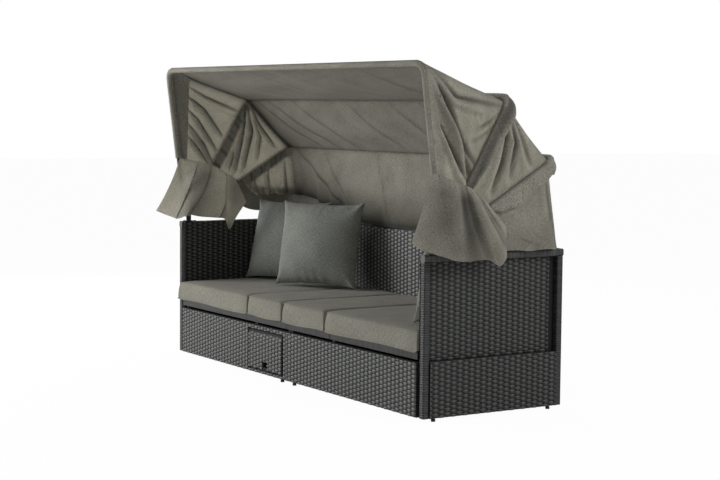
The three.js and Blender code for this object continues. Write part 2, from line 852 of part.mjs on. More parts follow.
function buildBatten() {
  const half = halfWidth - armFrame - gussetCornerRadius;
  const front = backFront + battenInset - battenThickness;
  const bottom = bodyTop + clearance;
  const batten = block(-half, half, front, front + battenThickness, bottom, bottom + battenHeight);
  place('rear_hem_batten', batten, coatedMetal);
}

sides.forEach(buildArm);
sides.forEach(buildBack);
sides.forEach(buildFront);
buildFlap();
sides.forEach(buildWall);
buildModuleBolt('front', moduleBoltFront);
buildModuleBolt('rear', moduleBoltRear);
buildBearers(sides[0], leftInnerSeat);
buildBearers(sides[1], rightInnerSeat);
buildLids();
sides.forEach(buildFeet);
buildCushions();
buildPillows();
sides.forEach(buildBracket);
sides.forEach(buildPivotBolt);
Object.entries(bows).forEach(([word, bow]) => buildBow(word, bow));
buildPanels();
sides.forEach(buildSkirt);
buildBatten();

// The origin is the middle of the ground under the daybed's outline
const model = new THREE.Group();
model.add(daybed);
model.updateMatrixWorld(true);
const outline = new THREE.Box3().setFromObject(daybed, true);
daybed.position.y = -(outline.min.y + outline.max.y) / 2;

export default model;
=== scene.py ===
# %% [markdown]
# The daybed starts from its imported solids. Every piece made here is in metres and in the same
# frame, so it goes where the solid says: X along the seat, Y from the front to the back, Z up.

# %% Load the solids
import math

import bpy
import numpy as np
from mathutils import Matrix, Vector


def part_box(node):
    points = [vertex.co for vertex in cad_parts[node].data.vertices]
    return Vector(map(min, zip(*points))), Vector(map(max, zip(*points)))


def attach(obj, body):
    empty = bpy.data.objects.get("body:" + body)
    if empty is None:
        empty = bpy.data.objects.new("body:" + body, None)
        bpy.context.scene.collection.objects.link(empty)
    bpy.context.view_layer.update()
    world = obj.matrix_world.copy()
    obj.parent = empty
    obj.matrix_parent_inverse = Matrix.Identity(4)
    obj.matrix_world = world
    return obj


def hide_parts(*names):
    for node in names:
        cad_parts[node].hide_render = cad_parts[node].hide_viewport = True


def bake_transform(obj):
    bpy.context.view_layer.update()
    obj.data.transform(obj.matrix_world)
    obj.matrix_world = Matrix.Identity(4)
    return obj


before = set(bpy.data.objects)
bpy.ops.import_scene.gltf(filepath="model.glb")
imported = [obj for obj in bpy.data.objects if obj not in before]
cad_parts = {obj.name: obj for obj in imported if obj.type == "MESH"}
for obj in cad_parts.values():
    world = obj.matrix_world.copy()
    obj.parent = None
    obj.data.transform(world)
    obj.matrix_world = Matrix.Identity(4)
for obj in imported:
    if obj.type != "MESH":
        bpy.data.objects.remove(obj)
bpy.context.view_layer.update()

# %% [markdown]
# The photograph was taken from the right, a little above the arm, with a long lens. The camera
# here has that place, its turn about the vertical, its slight downward pitch and its small roll.

# %% Camera
shift_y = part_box("left_arm_top_rail")[0][1]
eye = Vector((6.57607, -3.76349 + shift_y, 1.26194))
yaw, pitch, roll = 1.007521, 0.079373, 0.0090895
look = Vector((-math.sin(yaw) * math.cos(pitch), math.cos(yaw) * math.cos(pitch), -math.sin(pitch)))
level = Vector((math.cos(yaw), math.sin(yaw), 0))
upright = level.cross(look)
across = level * math.cos(roll) + upright * math.sin(roll)
above = upright * math.cos(roll) - level * math.sin(roll)
camera_data = bpy.data.cameras.new("camera")
camera_data.sensor_width = 36
camera_data.lens = 84.0
camera = bpy.data.objects.new("camera", camera_data)
camera.matrix_world = Matrix((
    (across.x, above.x, -look.x, eye.x),
    (across.y, above.y, -look.y, eye.y),
    (across.z, above.z, -look.z, eye.z),
    (0, 0, 0, 1)))
bpy.context.collection.objects.link(camera)
bpy.context.scene.camera = camera
print("camera", [round(v, 3) for v in eye])

# %% [markdown]
# A few helpers serve every material. One turns a colour written as sRGB hex into linear light, one
# adds a node, gives it its settings and joins its sockets, and the others make what most finishes
# share: a ramp of two tones, a darkened colour, and a surface with its colour, bump and roughness.

# %% Colour and node helpers
def linear(code):
    """An sRGB hex colour as linear red, green, blue and 1."""
    parts = [int(code[i:i + 2], 16) / 255 for i in (1, 3, 5)]
    return tuple(c / 12.92 if c <= 0.04045 else ((c + 0.055) / 1.055) ** 2.4 for c in parts) + (1,)


def add(tree, kind, sockets=(), **settings):
    """A node with its settings. sockets pairs an input with a value or with another node's output."""
    made = tree.nodes.new(kind)
    for key, value in settings.items():
        setattr(made, key, value)
    for socket, source in dict(sockets).items():
        if isinstance(source, bpy.types.NodeSocket):
            tree.links.new(source, made.inputs[socket])
        else:
            made.inputs[socket].default_value = source
    return made


def new_material(name):
    """An empty material with a surface shader, and its tree."""
    material = bpy.data.materials.new(name)
    material.use_nodes = True
    tree = material.node_tree
    tree.nodes.clear()
    shader = add(tree, "ShaderNodeBsdfPrincipled")
    add(tree, "ShaderNodeOutputMaterial", {"Surface": shader.outputs[0]})
    return material, tree, shader


def two_tones(tree, factor, low, high, places=(0.0, 1.0)):
    """A ramp from one linear colour to another, between two places."""
    ramp = add(tree, "ShaderNodeValToRGB", {"Fac": factor})
    for k, (place, colour) in enumerate(zip(places, (low, high))):
        ramp.color_ramp.elements[k].position = place
        ramp.color_ramp.elements[k].color = colour
    return ramp.outputs[0]


def darkened(tree, colour, share):
    """A colour times a share, which is another node's output."""
    sockets = {0: 1.0, 6: colour, 7: share}
    return add(tree, "ShaderNodeMix", sockets, data_type="RGBA", blend_type="MULTIPLY").outputs[2]


def dress(tree, shader, colour, bump, roughness):
    """Joins a colour and a bump to the surface shader and sets its roughness."""
    tree.links.new(colour, shader.inputs["Base Color"])
    tree.links.new(bump.outputs[0], shader.inputs["Normal"])
    shader.inputs["Roughness"].default_value = roughness


def mix_surface(tree, share, shader, other):
    """Mixes another shader into the surface by a share."""
    mixed = add(tree, "ShaderNodeMixShader", {0: share, 1: shader.outputs[0], 2: other.outputs[0]})
    out = next(n for n in tree.nodes if n.type == "OUTPUT_MATERIAL")
    tree.links.new(mixed.outputs[0], out.inputs["Surface"])


# %% [markdown]
# The strand is extruded polyethylene. It is through-coloured charcoal, with a satin skin and fine
# grooves along its length. Where a strand dives under the next one it lies in shadow, and the
# rise stored on each point of the weave darkens it there.

# %% Strand material
def strand_material(name, low, high, axis):
    """Polyethylene strand: streaks run along the given axis, X, Y or Z."""
    material, tree, shader = new_material(name)
    place = add(tree, "ShaderNodeTexCoord")
    stretch = {"X": (30, 900, 900), "Y": (900, 30, 900), "Z": (900, 900, 30)}[axis]
    drawn = add(tree, "ShaderNodeMapping", {"Vector": place.outputs["Object"], "Scale": stretch})
    streak = add(tree, "ShaderNodeTexNoise", {"Vector": drawn.outputs[0], "Scale": 1.0, "Detail": 3.0})
    sockets = {"Vector": place.outputs["Object"], "Scale": 70.0, "Detail": 2.0}
    patch = add(tree, "ShaderNodeTexNoise", sockets)
    rise = add(tree, "ShaderNodeAttribute", attribute_name="rise")
    uneven = add(tree, "ShaderNodeMath", {0: patch.outputs[0], 1: 0.24, 2: -0.12}, operation="MULTIPLY_ADD")
    lit = add(tree, "ShaderNodeMath", {0: rise.outputs["Fac"], 1: uneven.outputs[0]}, operation="ADD")
    tone = two_tones(tree, lit.outputs[0], linear(low), linear(high), (0.12, 0.92))
    bump = add(tree, "ShaderNodeBump", {"Strength": 0.3, "Distance": 0.0005, "Height": streak.outputs[0]})
    dress(tree, shader, tone, bump, 0.58)
    return material


# One strand is made in three copies. The copy for the back boards is lighter, which is painted light. The
# copy for strands along Y, on the arms and aprons, is darker, which is painted shade.
strand_along_x = strand_material("polyethylene_strand_x", "#0e0f0e", "#646662", "X")
strand_back_painted_light = strand_material("polyethylene_strand_back_painted_light", "#141514", "#868884", "X")
strand_along_y_painted_shade = strand_material("polyethylene_strand_y_painted_shade", "#0a0b0a", "#464844", "Y")
print("strand materials made")

# %% [markdown]
# Posts, rails and rims are wrapped: one strand 9 mm wide winds round them, turn against turn. The
# turns are rounded ridges across the bar, and the gap between two turns is painted dark, as shade.

# %% Wrapped strand material
def wrap_material(name, code, axis, turn_mm=9.5):
    """Strand wound round a bar that runs along axis."""
    material, tree, shader = new_material(name)
    place = add(tree, "ShaderNodeTexCoord")
    split = add(tree, "ShaderNodeSeparateXYZ", {0: place.outputs["Object"]})
    along = split.outputs["XYZ".index(axis)]
    turns = add(tree, "ShaderNodeMath", {0: along, 1: 1000 / turn_mm}, operation="MULTIPLY")
    share = add(tree, "ShaderNodeMath", {0: turns.outputs[0]}, operation="FRACT")
    middle = add(tree, "ShaderNodeMath", {0: share.outputs[0], 1: 0.5}, operation="SUBTRACT")
    square = add(tree, "ShaderNodeMath", {0: middle.outputs[0], 1: middle.outputs[0]}, operation="MULTIPLY")
    high = add(tree, "ShaderNodeMath", {0: square.outputs[0], 1: -4.0, 2: 1.0}, operation="MULTIPLY_ADD")
    sockets = {"Vector": place.outputs["Object"], "Scale": 60.0, "Detail": 3.0}
    patch = add(tree, "ShaderNodeTexNoise", sockets)
    # Painted shade: the tone falls to near black in the gap between two turns.
    tone = two_tones(tree, high.outputs[0], linear("#151615"), linear(code), (0.02, 0.6))
    turn = add(tree, "ShaderNodeMath", {0: turns.outputs[0]}, operation="FLOOR")
    own = add(tree, "ShaderNodeTexWhiteNoise", {"W": turn.outputs[0]}, noise_dimensions="1D")
    both = add(tree, "ShaderNodeMath", {0: own.outputs["Value"], 1: patch.outputs[0]}, operation="ADD")
    shade = add(tree, "ShaderNodeMapRange", {0: both.outputs[0], 1: 0.4, 2: 1.6, 3: 0.55, 4: 1.4})
    bump = add(tree, "ShaderNodeBump", {"Strength": 0.8, "Distance": 0.0025, "Height": high.outputs[0]})
    dress(tree, shader, darkened(tree, tone, shade.outputs[0]), bump, 0.48)
    return material


# The three copies are one wrapped strand. Their tones differ as painted light and shade: lighter on the top
# rails, darker on the posts, darkest on the lid rims.
wrap_x = wrap_material("wrapped_strand_x", "#222321", "X")
wrap_y = wrap_material("wrapped_strand_y", "#444543", "Y")
wrap_z = wrap_material("wrapped_strand_z", "#292a28", "Z")
print("wrap materials made")

# %% [markdown]
# Behind the weave lies shadow, so the boards themselves get a near-black matt strand colour. The
# metal parts are powder-coated steel, a black lacquered frame and zinc-plated fasteners.

# %% Plain materials
def plain_material(name, code, roughness, metallic=0.0, grain=250.0, depth=0.0002):
    """A plain finish with a fine grain in its colour and its surface."""
    material, tree, shader = new_material(name)
    place = add(tree, "ShaderNodeTexCoord")
    sockets = {"Vector": place.outputs["Object"], "Scale": grain, "Detail": 4.0}
    speck = add(tree, "ShaderNodeTexNoise", sockets)
    darker, lighter = (tuple(min(1, c * change) for c in linear(code)[:3]) + (1,) for change in (0.8, 1.2))
    tone = two_tones(tree, speck.outputs[0], darker, lighter)
    bump = add(tree, "ShaderNodeBump", {"Strength": 0.5, "Distance": depth, "Height": speck.outputs[0]})
    dress(tree, shader, tone, bump, roughness)
    shader.inputs["Metallic"].default_value = metallic
    return material


under_weave = plain_material("strand_in_shadow", "#0e0f0e", 0.8)
powder_coat = plain_material("powder_coated_steel", "#2b2c2d", 0.45, 0.0, 900.0)
black_frame = plain_material("black_frame_tube", "#0d0e0e", 0.6, 0.0, 400.0, 0.0001)
zinc_plate = plain_material("zinc_plated_steel", "#b4b6b8", 0.3, 1.0, 400.0, 0.00005)
moulded_plastic = plain_material("moulded_polypropylene", "#18191a", 0.55, 0.0, 500.0)
print("plain materials made")

# %% [markdown]
# All cloth here is a plain weave of spun polyester in melange yarn. Its threads, about 0.8 mm, are
# too fine to show, so the slubs are drawn about 10 mm long and 2 mm wide, which is how the cloth
# reads from afar. The canopy is one layer and lets some daylight through, so its shader passes
# light on as well. Where a piece stores painted shade on its points, its colour and the light it
# passes are both darkened by it.

# %% Cloth material
def cloth_material(name, dark, light, passed=0.0, depth=0.0007):
    """Melange plain weave: slubs across and down, on the piece's own map in metres."""
    material, tree, shader = new_material(name)
    flat = add(tree, "ShaderNodeUVMap", uv_map="cloth")
    slubs = []
    for scale in ((90, 480, 1), (480, 90, 1)):
        turned = add(tree, "ShaderNodeMapping", {"Vector": flat.outputs[0], "Scale": scale})
        sockets = {"Vector": turned.outputs[0], "Scale": 1.0, "Detail": 2.0}
        slubs.append(add(tree, "ShaderNodeTexNoise", sockets))
    weave = add(tree, "ShaderNodeMath", {0: slubs[0].outputs[0], 1: slubs[1].outputs[0]}, operation="ADD")
    cloud = add(tree, "ShaderNodeTexNoise", {"Vector": flat.outputs[0], "Scale": 9.0, "Detail": 3.0})
    sockets = {0: cloud.outputs[0], 1: 0.35, 2: weave.outputs[0]}
    both = add(tree, "ShaderNodeMath", sockets, operation="MULTIPLY_ADD")
    share = add(tree, "ShaderNodeMapRange", {0: both.outputs[0], 1: 0.95, 2: 1.40, 3: 0.0, 4: 1.0})
    tone = two_tones(tree, share.outputs[0], linear(dark), linear(light))
    bump = add(tree, "ShaderNodeBump", {"Strength": 0.35, "Distance": depth, "Height": weave.outputs[0]})
    # Painted shade stored on the points darkens the colour, and the passed light below.
    painted_shade_share = add(tree, "ShaderNodeAttribute", attribute_name="painted_shade_share")
    left_over = add(tree, "ShaderNodeMapRange", {0: painted_shade_share.outputs["Fac"], 1: 0.0, 2: 1.0, 3: 1.0, 4: 0.22})
    dress(tree, shader, darkened(tree, tone, left_over.outputs[0]), bump, 0.92)
    shader.inputs["Specular IOR Level"].default_value = 0.25
    shader.inputs["Sheen Weight"].default_value = 0.1
    if passed:
        passed_light = darkened(tree, linear("#e8e4d9"), left_over.outputs[0])
        glow = add(tree, "ShaderNodeBsdfTranslucent", {"Color": passed_light, "Normal": bump.outputs[0]})
        mix_surface(tree, passed, shader, glow)
    return material


canopy_cloth = cloth_material("canopy_melange_weave", "#5a584f", "#bebbad", passed=0.36)
sleeve_cloth = cloth_material("canopy_double_layer", "#636158", "#989589", depth=0.0003)
cushion_cloth = cloth_material("cushion_melange_weave", "#68665c", "#8b897d")
pillow_cloth = cloth_material("pillow_melange_weave", "#61635d", "#8c8e87")
print("cloth materials made")

# %% [markdown]
# The CAD pieces whose shape is already right only need their finish. The woven boards become the
# dark ground of the weave, and the wrapped bars get the wound strand along their own length.

# %% Finish the solids
def both_sides(*names):
    """The left and the right node of each name."""
    return [f"{side}_{name}" for name in names for side in ("left", "right")]


finishes = {
    wrap_z: both_sides("arm_front_post", "arm_rear_post"),
    wrap_y: both_sides("arm_top_rail"),
    wrap_x: both_sides("outer_lid", "inner_lid"),
    under_weave: both_sides("arm_apron", "arm_panel", "back_panel", "front_panel") + ["flap"],
    powder_coat: both_sides("pivot_bracket") + ["front_bow", "middle_bow", "rear_bow", "rear_hem_batten"],
    black_frame: both_sides("inner_wall", "middle_bearer", "outer_bearer") + ["flap_stop"],
    zinc_plate: both_sides("pivot_bolt") + ["flap_hinge_rod", "front_module_bolt", "rear_module_bolt"],
    moulded_plastic: [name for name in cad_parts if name.endswith("_foot")],
}
for finish, names in finishes.items():
    for name in names:
        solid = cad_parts[name]
        solid.data.materials.clear()
        solid.data.materials.append(finish)
print("finished", sum(len(names) for names in finishes.values()), "solids")

# %% [markdown]
# The weave is real strand, not a picture of it. Strands 10 mm wide run across, and each goes over
# one upright and under the next, with the uprights 29.5 mm apart. One repeat of the pattern is
# modelled as small pieces of strand, then it is arrayed over the board and cut to its edges.

# %% One repeat of the weave
UPRIGHT = 0.0295
STRAND = 0.0095
LIFT = 0.0026


def nothing_selected():
    """Deselects everything, so a new primitive is worked on alone."""
    for other in bpy.context.selected_objects:
        other.select_set(False)


def take_up(*pieces):
    """Selects only these pieces and makes the first one active."""
    nothing_selected()
    for piece in pieces:
        piece.select_set(True)
    bpy.context.view_layer.objects.active = pieces[0]


def modify(piece, kind, **settings):
    """Adds a modifier with its settings and applies it at once."""
    modifier = piece.modifiers.new(kind.lower(), kind)
    for key, value in settings.items():
        setattr(modifier, key, value)
    bpy.ops.object.modifier_apply(modifier=modifier.name)


def strip(width, length, steps, at, wave):
    """A flat strand in the XY plane whose height and rise follow wave(x, y, a, b)."""
    nothing_selected()
    across, along = steps
    bpy.ops.mesh.primitive_grid_add(x_subdivisions=across, y_subdivisions=along, size=2, location=(0, 0, 0))
    made = bpy.context.object
    rise = made.data.attributes.new("rise", "FLOAT", "POINT")
    for vertex in made.data.vertices:
        a, b = vertex.co.x, vertex.co.y
        x, y = a * width / 2 + at[0], b * length / 2 + at[1]
        height, share, widen = wave(x, y, a, b)
        vertex.co = (x, at[1] + (y - at[1]) * widen, height)
        rise.data[vertex.index].value = share
    return made


def over_and_under(x, b, sign):
    """A strand across: a hump over one upright, where it spreads, and a dip under the next."""
    swing = math.cos(math.pi * x / UPRIGHT) * sign
    hump = max(0.0, swing)
    height = LIFT * (1.0 + swing) - 0.0017 * b * b
    return height, 0.16 + 0.84 * hump ** 1.5 - 0.20 * b ** 4 * (1 - hump), 1 + 0.50 * hump ** 0.8


def upright_strand(y, a, sign):
    """An upright: it shows only where the strands dive behind it."""
    swing = math.cos(math.pi * (y / STRAND - 0.5)) * sign
    height = LIFT * (0.6 + 0.6 * swing) - 0.0012 * a * a
    return height, 0.12 + 0.2 * max(0.0, swing), 1.0


def repeat_of_weave():
    """Two strands across and two uprights, one repeat wide and high."""
    parts = []
    for row, sign in ((0, 1), (1, -1)):
        parts.append(strip(2 * UPRIGHT, STRAND * 0.90, (12, 4), (UPRIGHT, STRAND * (row + 0.5)),
                           lambda x, y, a, b, s=sign: over_and_under(x, b, s)))
    for column, sign in ((0, -1), (1, 1)):
        parts.append(strip(UPRIGHT * 0.40, 2 * STRAND, (2, 8), (UPRIGHT * column, STRAND),
                           lambda x, y, a, b, s=sign: upright_strand(y, a, s)))
    take_up(*parts)
    bpy.ops.object.join()
    return bpy.context.object


cell = repeat_of_weave()
print("one repeat has", len(cell.data.polygons), "faces")

# %% [markdown]
# A woven board is then the repeat, arrayed in both directions, trimmed with four bisecting planes
# to the board's own edges, and turned to face outwards from it.

# %% Weave a board
ALONG, BACKWARDS, UP = (1, 0, 0), (0, 1, 0), (0, 0, 1)
MERGED_WITHIN = 0.0002


def cut_round(x0, x1, y0, y1, drop_outside):
    """Cuts all the strand with four planes, round a rectangle in the XY plane."""
    bpy.ops.object.mode_set(mode="EDIT")
    sides = [((x0, 0, 0), (-1, 0, 0)), ((x1, 0, 0), (1, 0, 0))]
    ends = [((0, y0, 0), (0, -1, 0)), ((0, y1, 0), (0, 1, 0))]
    for point, outward in sides + ends:
        bpy.ops.mesh.select_all(action="SELECT")
        bpy.ops.mesh.bisect(plane_co=point, plane_no=outward, clear_outer=drop_outside)
    bpy.ops.mesh.select_all(action="DESELECT")
    bpy.ops.object.mode_set(mode="OBJECT")


def weave(name, size, corner, run, face, body, holes=()):
    """Strand over an upright rectangle: its width and height, low corner, way along and way out."""
    width, height = size
    piece = bpy.data.objects.new(name, cell.data.copy())
    bpy.context.collection.objects.link(piece)
    take_up(piece)
    for axis, pitch, length in ((0, 2 * UPRIGHT, width), (1, 2 * STRAND, height)):
        step = [pitch if i == axis else 0 for i in range(3)]
        modify(piece, "ARRAY", use_relative_offset=False, use_constant_offset=True, use_merge_vertices=True,
               merge_threshold=MERGED_WITHIN, constant_offset_displace=step,
               count=math.ceil((length + UPRIGHT) / pitch))
    cut_round(0, width, 0, height, True)
    for x0, x1, y0, y1 in holes:
        open_hole(piece, x0, x1, y0, y1)
    turn = Matrix([*zip(run, UP, face, corner), (0, 0, 0, 1)])
    piece.data.transform(turn)
    if turn.determinant() < 0:
        piece.data.flip_normals()
    piece.data.materials.clear()
    # The back boards take the lighter copy of the strand, painted light. Boards with strands along Y take
    # the darker copy, painted shade.
    along_x = strand_back_painted_light if "back_weave" in name else strand_along_x
    piece.data.materials.append(strand_along_y_painted_shade if abs(run[1]) > 0.5 else along_x)
    piece.data.polygons.foreach_set("use_smooth", [True] * len(piece.data.polygons))
    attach(piece, body)
    return piece


def open_hole(piece, x0, x1, y0, y1):
    """Cuts the strand along the edges of a rectangle, then deletes what lies inside it."""
    cut_round(x0, x1, y0, y1, False)
    for polygon in piece.data.polygons:
        c = polygon.center
        polygon.select = x0 < c.x < x1 and y0 < c.y < y1
    bpy.ops.object.mode_set(mode="EDIT")
    bpy.ops.mesh.delete(type="FACE")
    bpy.ops.object.mode_set(mode="OBJECT")


PROUD = 0.0006
FLAP_GAP = 0.006
MODULE_GAP = 0.022
POST_GAP = 0.026
woven = []
for side, sign in (("left", -1), ("right", 1)):
    low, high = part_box(f"{side}_front_panel")
    holes = []
    if side == "left":
        flap_low, flap_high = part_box("flap")
        holes = [(flap_low[0] - FLAP_GAP - low[0], -MODULE_GAP - low[0],
                  flap_low[2] - 0.004 - low[2], flap_high[2] + FLAP_GAP - low[2])]
    woven.append(weave(f"{side}_front_weave", (high[0] - low[0], high[2] - low[2]),
                       (low[0], low[1] - PROUD, low[2]), ALONG, (0, -1, 0), "daybed", holes))
    low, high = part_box(f"{side}_back_panel")
    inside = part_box(f"{side}_outer_lid")[1][2]
    woven.append(weave(f"{side}_back_weave", (high[0] - low[0], high[2] - inside),
                       (low[0], low[1] - PROUD, inside), ALONG, (0, -1, 0), "daybed"))
    woven.append(weave(f"{side}_rear_weave", (high[0] - low[0], high[2] - low[2]),
                       (low[0], high[1] + PROUD, low[2]), ALONG, BACKWARDS, "daybed"))
    low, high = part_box(f"{side}_arm_panel")
    inner = low[0] if sign > 0 else high[0]
    outer = high[0] if sign > 0 else low[0]
    woven.append(weave(f"{side}_arm_inner_weave", (high[1] - low[1], high[2] - inside),
                       (inner - sign * PROUD, low[1], inside), BACKWARDS, (-sign, 0, 0), "daybed"))
    apron_low, apron_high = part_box(f"{side}_arm_apron")
    rail_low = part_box(f"{side}_arm_top_rail")[0]
    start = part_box(f"{side}_arm_front_post")[1][1] + 0.004
    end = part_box(f"{side}_arm_rear_post")[0][1] - POST_GAP
    woven.append(weave(f"{side}_arm_outer_weave", (end - start, rail_low[2] - apron_high[2]),
                       (outer + sign * PROUD, start, apron_high[2]), BACKWARDS, (sign, 0, 0), "daybed"))
    face_x = apron_high[0] if sign > 0 else apron_low[0]
    woven.append(weave(f"{side}_apron_weave", (apron_high[1] - apron_low[1], apron_high[2] - apron_low[2]),
                       (face_x + sign * PROUD, apron_low[1], apron_low[2]),
                       BACKWARDS, (sign, 0, 0), "daybed"))
low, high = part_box("flap")
FINGER_HOLE = (0.129, 0.179, 0.003, 0.038)
FLAP_SIDE, FLAP_FOOT, FLAP_TOP = 0.004, 0.002, 0.012
woven.append(weave("flap_weave", (high[0] - low[0] - 2 * FLAP_SIDE, high[2] - low[2] - FLAP_FOOT - FLAP_TOP),
                   (low[0] + FLAP_SIDE, low[1] - PROUD, low[2] + FLAP_FOOT), ALONG, (0, -1, 0), "flap",
                   [FINGER_HOLE]))
# Next to the hinge the strands lie flat, so the open flap clears the board above it.
HINGE_STRIP, FLAT_STRAND = 0.026, 0.0010
for vertex in woven[-1].data.vertices:
    if vertex.co.z > high[2] - HINGE_STRIP:
        vertex.co.y = max(vertex.co.y, low[1] - FLAT_STRAND)
bpy.data.objects.remove(cell)
print("woven", len(woven), "boards with", sum(len(p.data.polygons) for p in woven), "faces")

# %% [markdown]
# Cloth is a grid of points with its own map in metres, so the slubs of the weave keep their real
# size. The grid gets its thickness from a Solidify modifier that is applied at once. The cloth that
# was cut for a sheet is as long as one line of the grid, and as wide as its area needs.

# %% Sheet helper
def walked(points, axis=0):
    """How far each point lies from the first one, along the given axis of a grid or line."""
    steps = np.linalg.norm(np.diff(points, axis=axis), axis=-1)
    start = np.zeros_like(np.take(steps, [0], axis=axis))
    return np.concatenate([start, np.cumsum(steps, axis=axis)], axis=axis)


def smooth_line(points, count):
    """count points on a smooth curve through the given ones, evenly spaced along it."""
    given = np.array(points, float)
    padded = np.vstack([2 * given[0] - given[1], given, 2 * given[-1] - given[-2]])
    fine = []
    for i in range(1, len(padded) - 2):
        p0, p1, p2, p3 = padded[i - 1:i + 3]
        for t in np.linspace(0, 1, 24, endpoint=False):
            fine.append(0.5 * (2 * p1 + (p2 - p0) * t + (2 * p0 - 5 * p1 + 4 * p2 - p3) * t ** 2
                               + (3 * p1 - p0 - 3 * p2 + p3) * t ** 3))
    fine.append(given[-1])
    fine = np.array(fine)
    far = walked(fine)
    wanted = np.linspace(0, far[-1], count)
    return np.stack([np.interp(wanted, far, fine[:, k]) for k in range(3)], axis=1)


SHARP = math.radians(60)


def sheet_piece(name, grid, thickness, material, creases=None):
    """A sheet through a grid of points, rows by columns by 3, with a map in metres named cloth. creases,
    when given, is each point's share of painted shade.
    """
    rows, columns = grid.shape[:2]
    index = np.arange(rows * columns).reshape(rows, columns)
    faces = np.stack([index[:-1, :-1], index[1:, :-1], index[1:, 1:], index[:-1, 1:]], axis=-1)
    mesh = bpy.data.meshes.new(name)
    mesh.from_pydata(grid.reshape(-1, 3).tolist(), [], faces.reshape(-1, 4).tolist())
    uv = np.stack([walked(grid, 1), walked(grid, 0)], axis=-1).reshape(-1, 2)
    layer = mesh.uv_layers.new(name="cloth")
    corners = np.empty(len(mesh.loops), int)
    mesh.loops.foreach_get("vertex_index", corners)
    layer.data.foreach_set("uv", uv[corners].ravel())
    if creases is not None:
        mesh.attributes.new("painted_shade_share", "FLOAT", "POINT").data.foreach_set("value", creases.ravel())
    mesh.materials.append(material)
    piece = bpy.data.objects.new(name, mesh)
    bpy.context.collection.objects.link(piece)
    take_up(piece)
    modify(piece, "SOLIDIFY", thickness=thickness, offset=0)
    bpy.ops.object.shade_smooth_by_angle(angle=SHARP)
    return piece


def grid_area(grid):
    """The area of the middle surface, in square metres."""
    a = np.cross(grid[1:, :-1] - grid[:-1, :-1], grid[:-1, 1:] - grid[:-1, :-1])
    b = np.cross(grid[1:, 1:] - grid[1:, :-1], grid[1:, 1:] - grid[:-1, 1:])
    return float((np.linalg.norm(a, axis=2).sum() + np.linalg.norm(b, axis=2).sum()) / 2)


# %% [markdown]
# Each seat cushion is a boxed cushion: a foam block in a sewn cover with a crowned top, side walls
# between two seams, and corners gathered round. The box is added as a primitive, cut fine, and its
# points are then moved to the crown, the drawn-in sides, the seams and the gathers.

# %% Seat cushions
CROWN, CROWN_RIPPLE = 0.010, 0.0022
COVER_INSET = 0.0016
END_DRAW, FRONT_DRAW = 0.001, 0.003
WELT, GROOVE, WALL_BULGE = 0.0042, 0.0016, 0.0035
END_GATHER, FRONT_GATHER, PUCKER = 0.011, 0.013, 0.004
DROOP, DROOP_WAVE = 0.009, 0.003
END_EAR, FRONT_EAR = 0.027, 0.016


def ripple(x, y, seed):
    """A soft, repeatable unevenness between about -1 and 1."""
    total = 0.0
    for k, (a, b, c) in enumerate(((7.1, 3.3, 0.4), (12.7, 9.1, 1.7), (19.3, 15.9, 2.9), (4.3, 21.1, 0.9))):
        total += math.sin(a * x * 2 + seed * 1.7 + c) * math.cos(b * y * 2 + seed * 0.9 + k)
    return total / 3


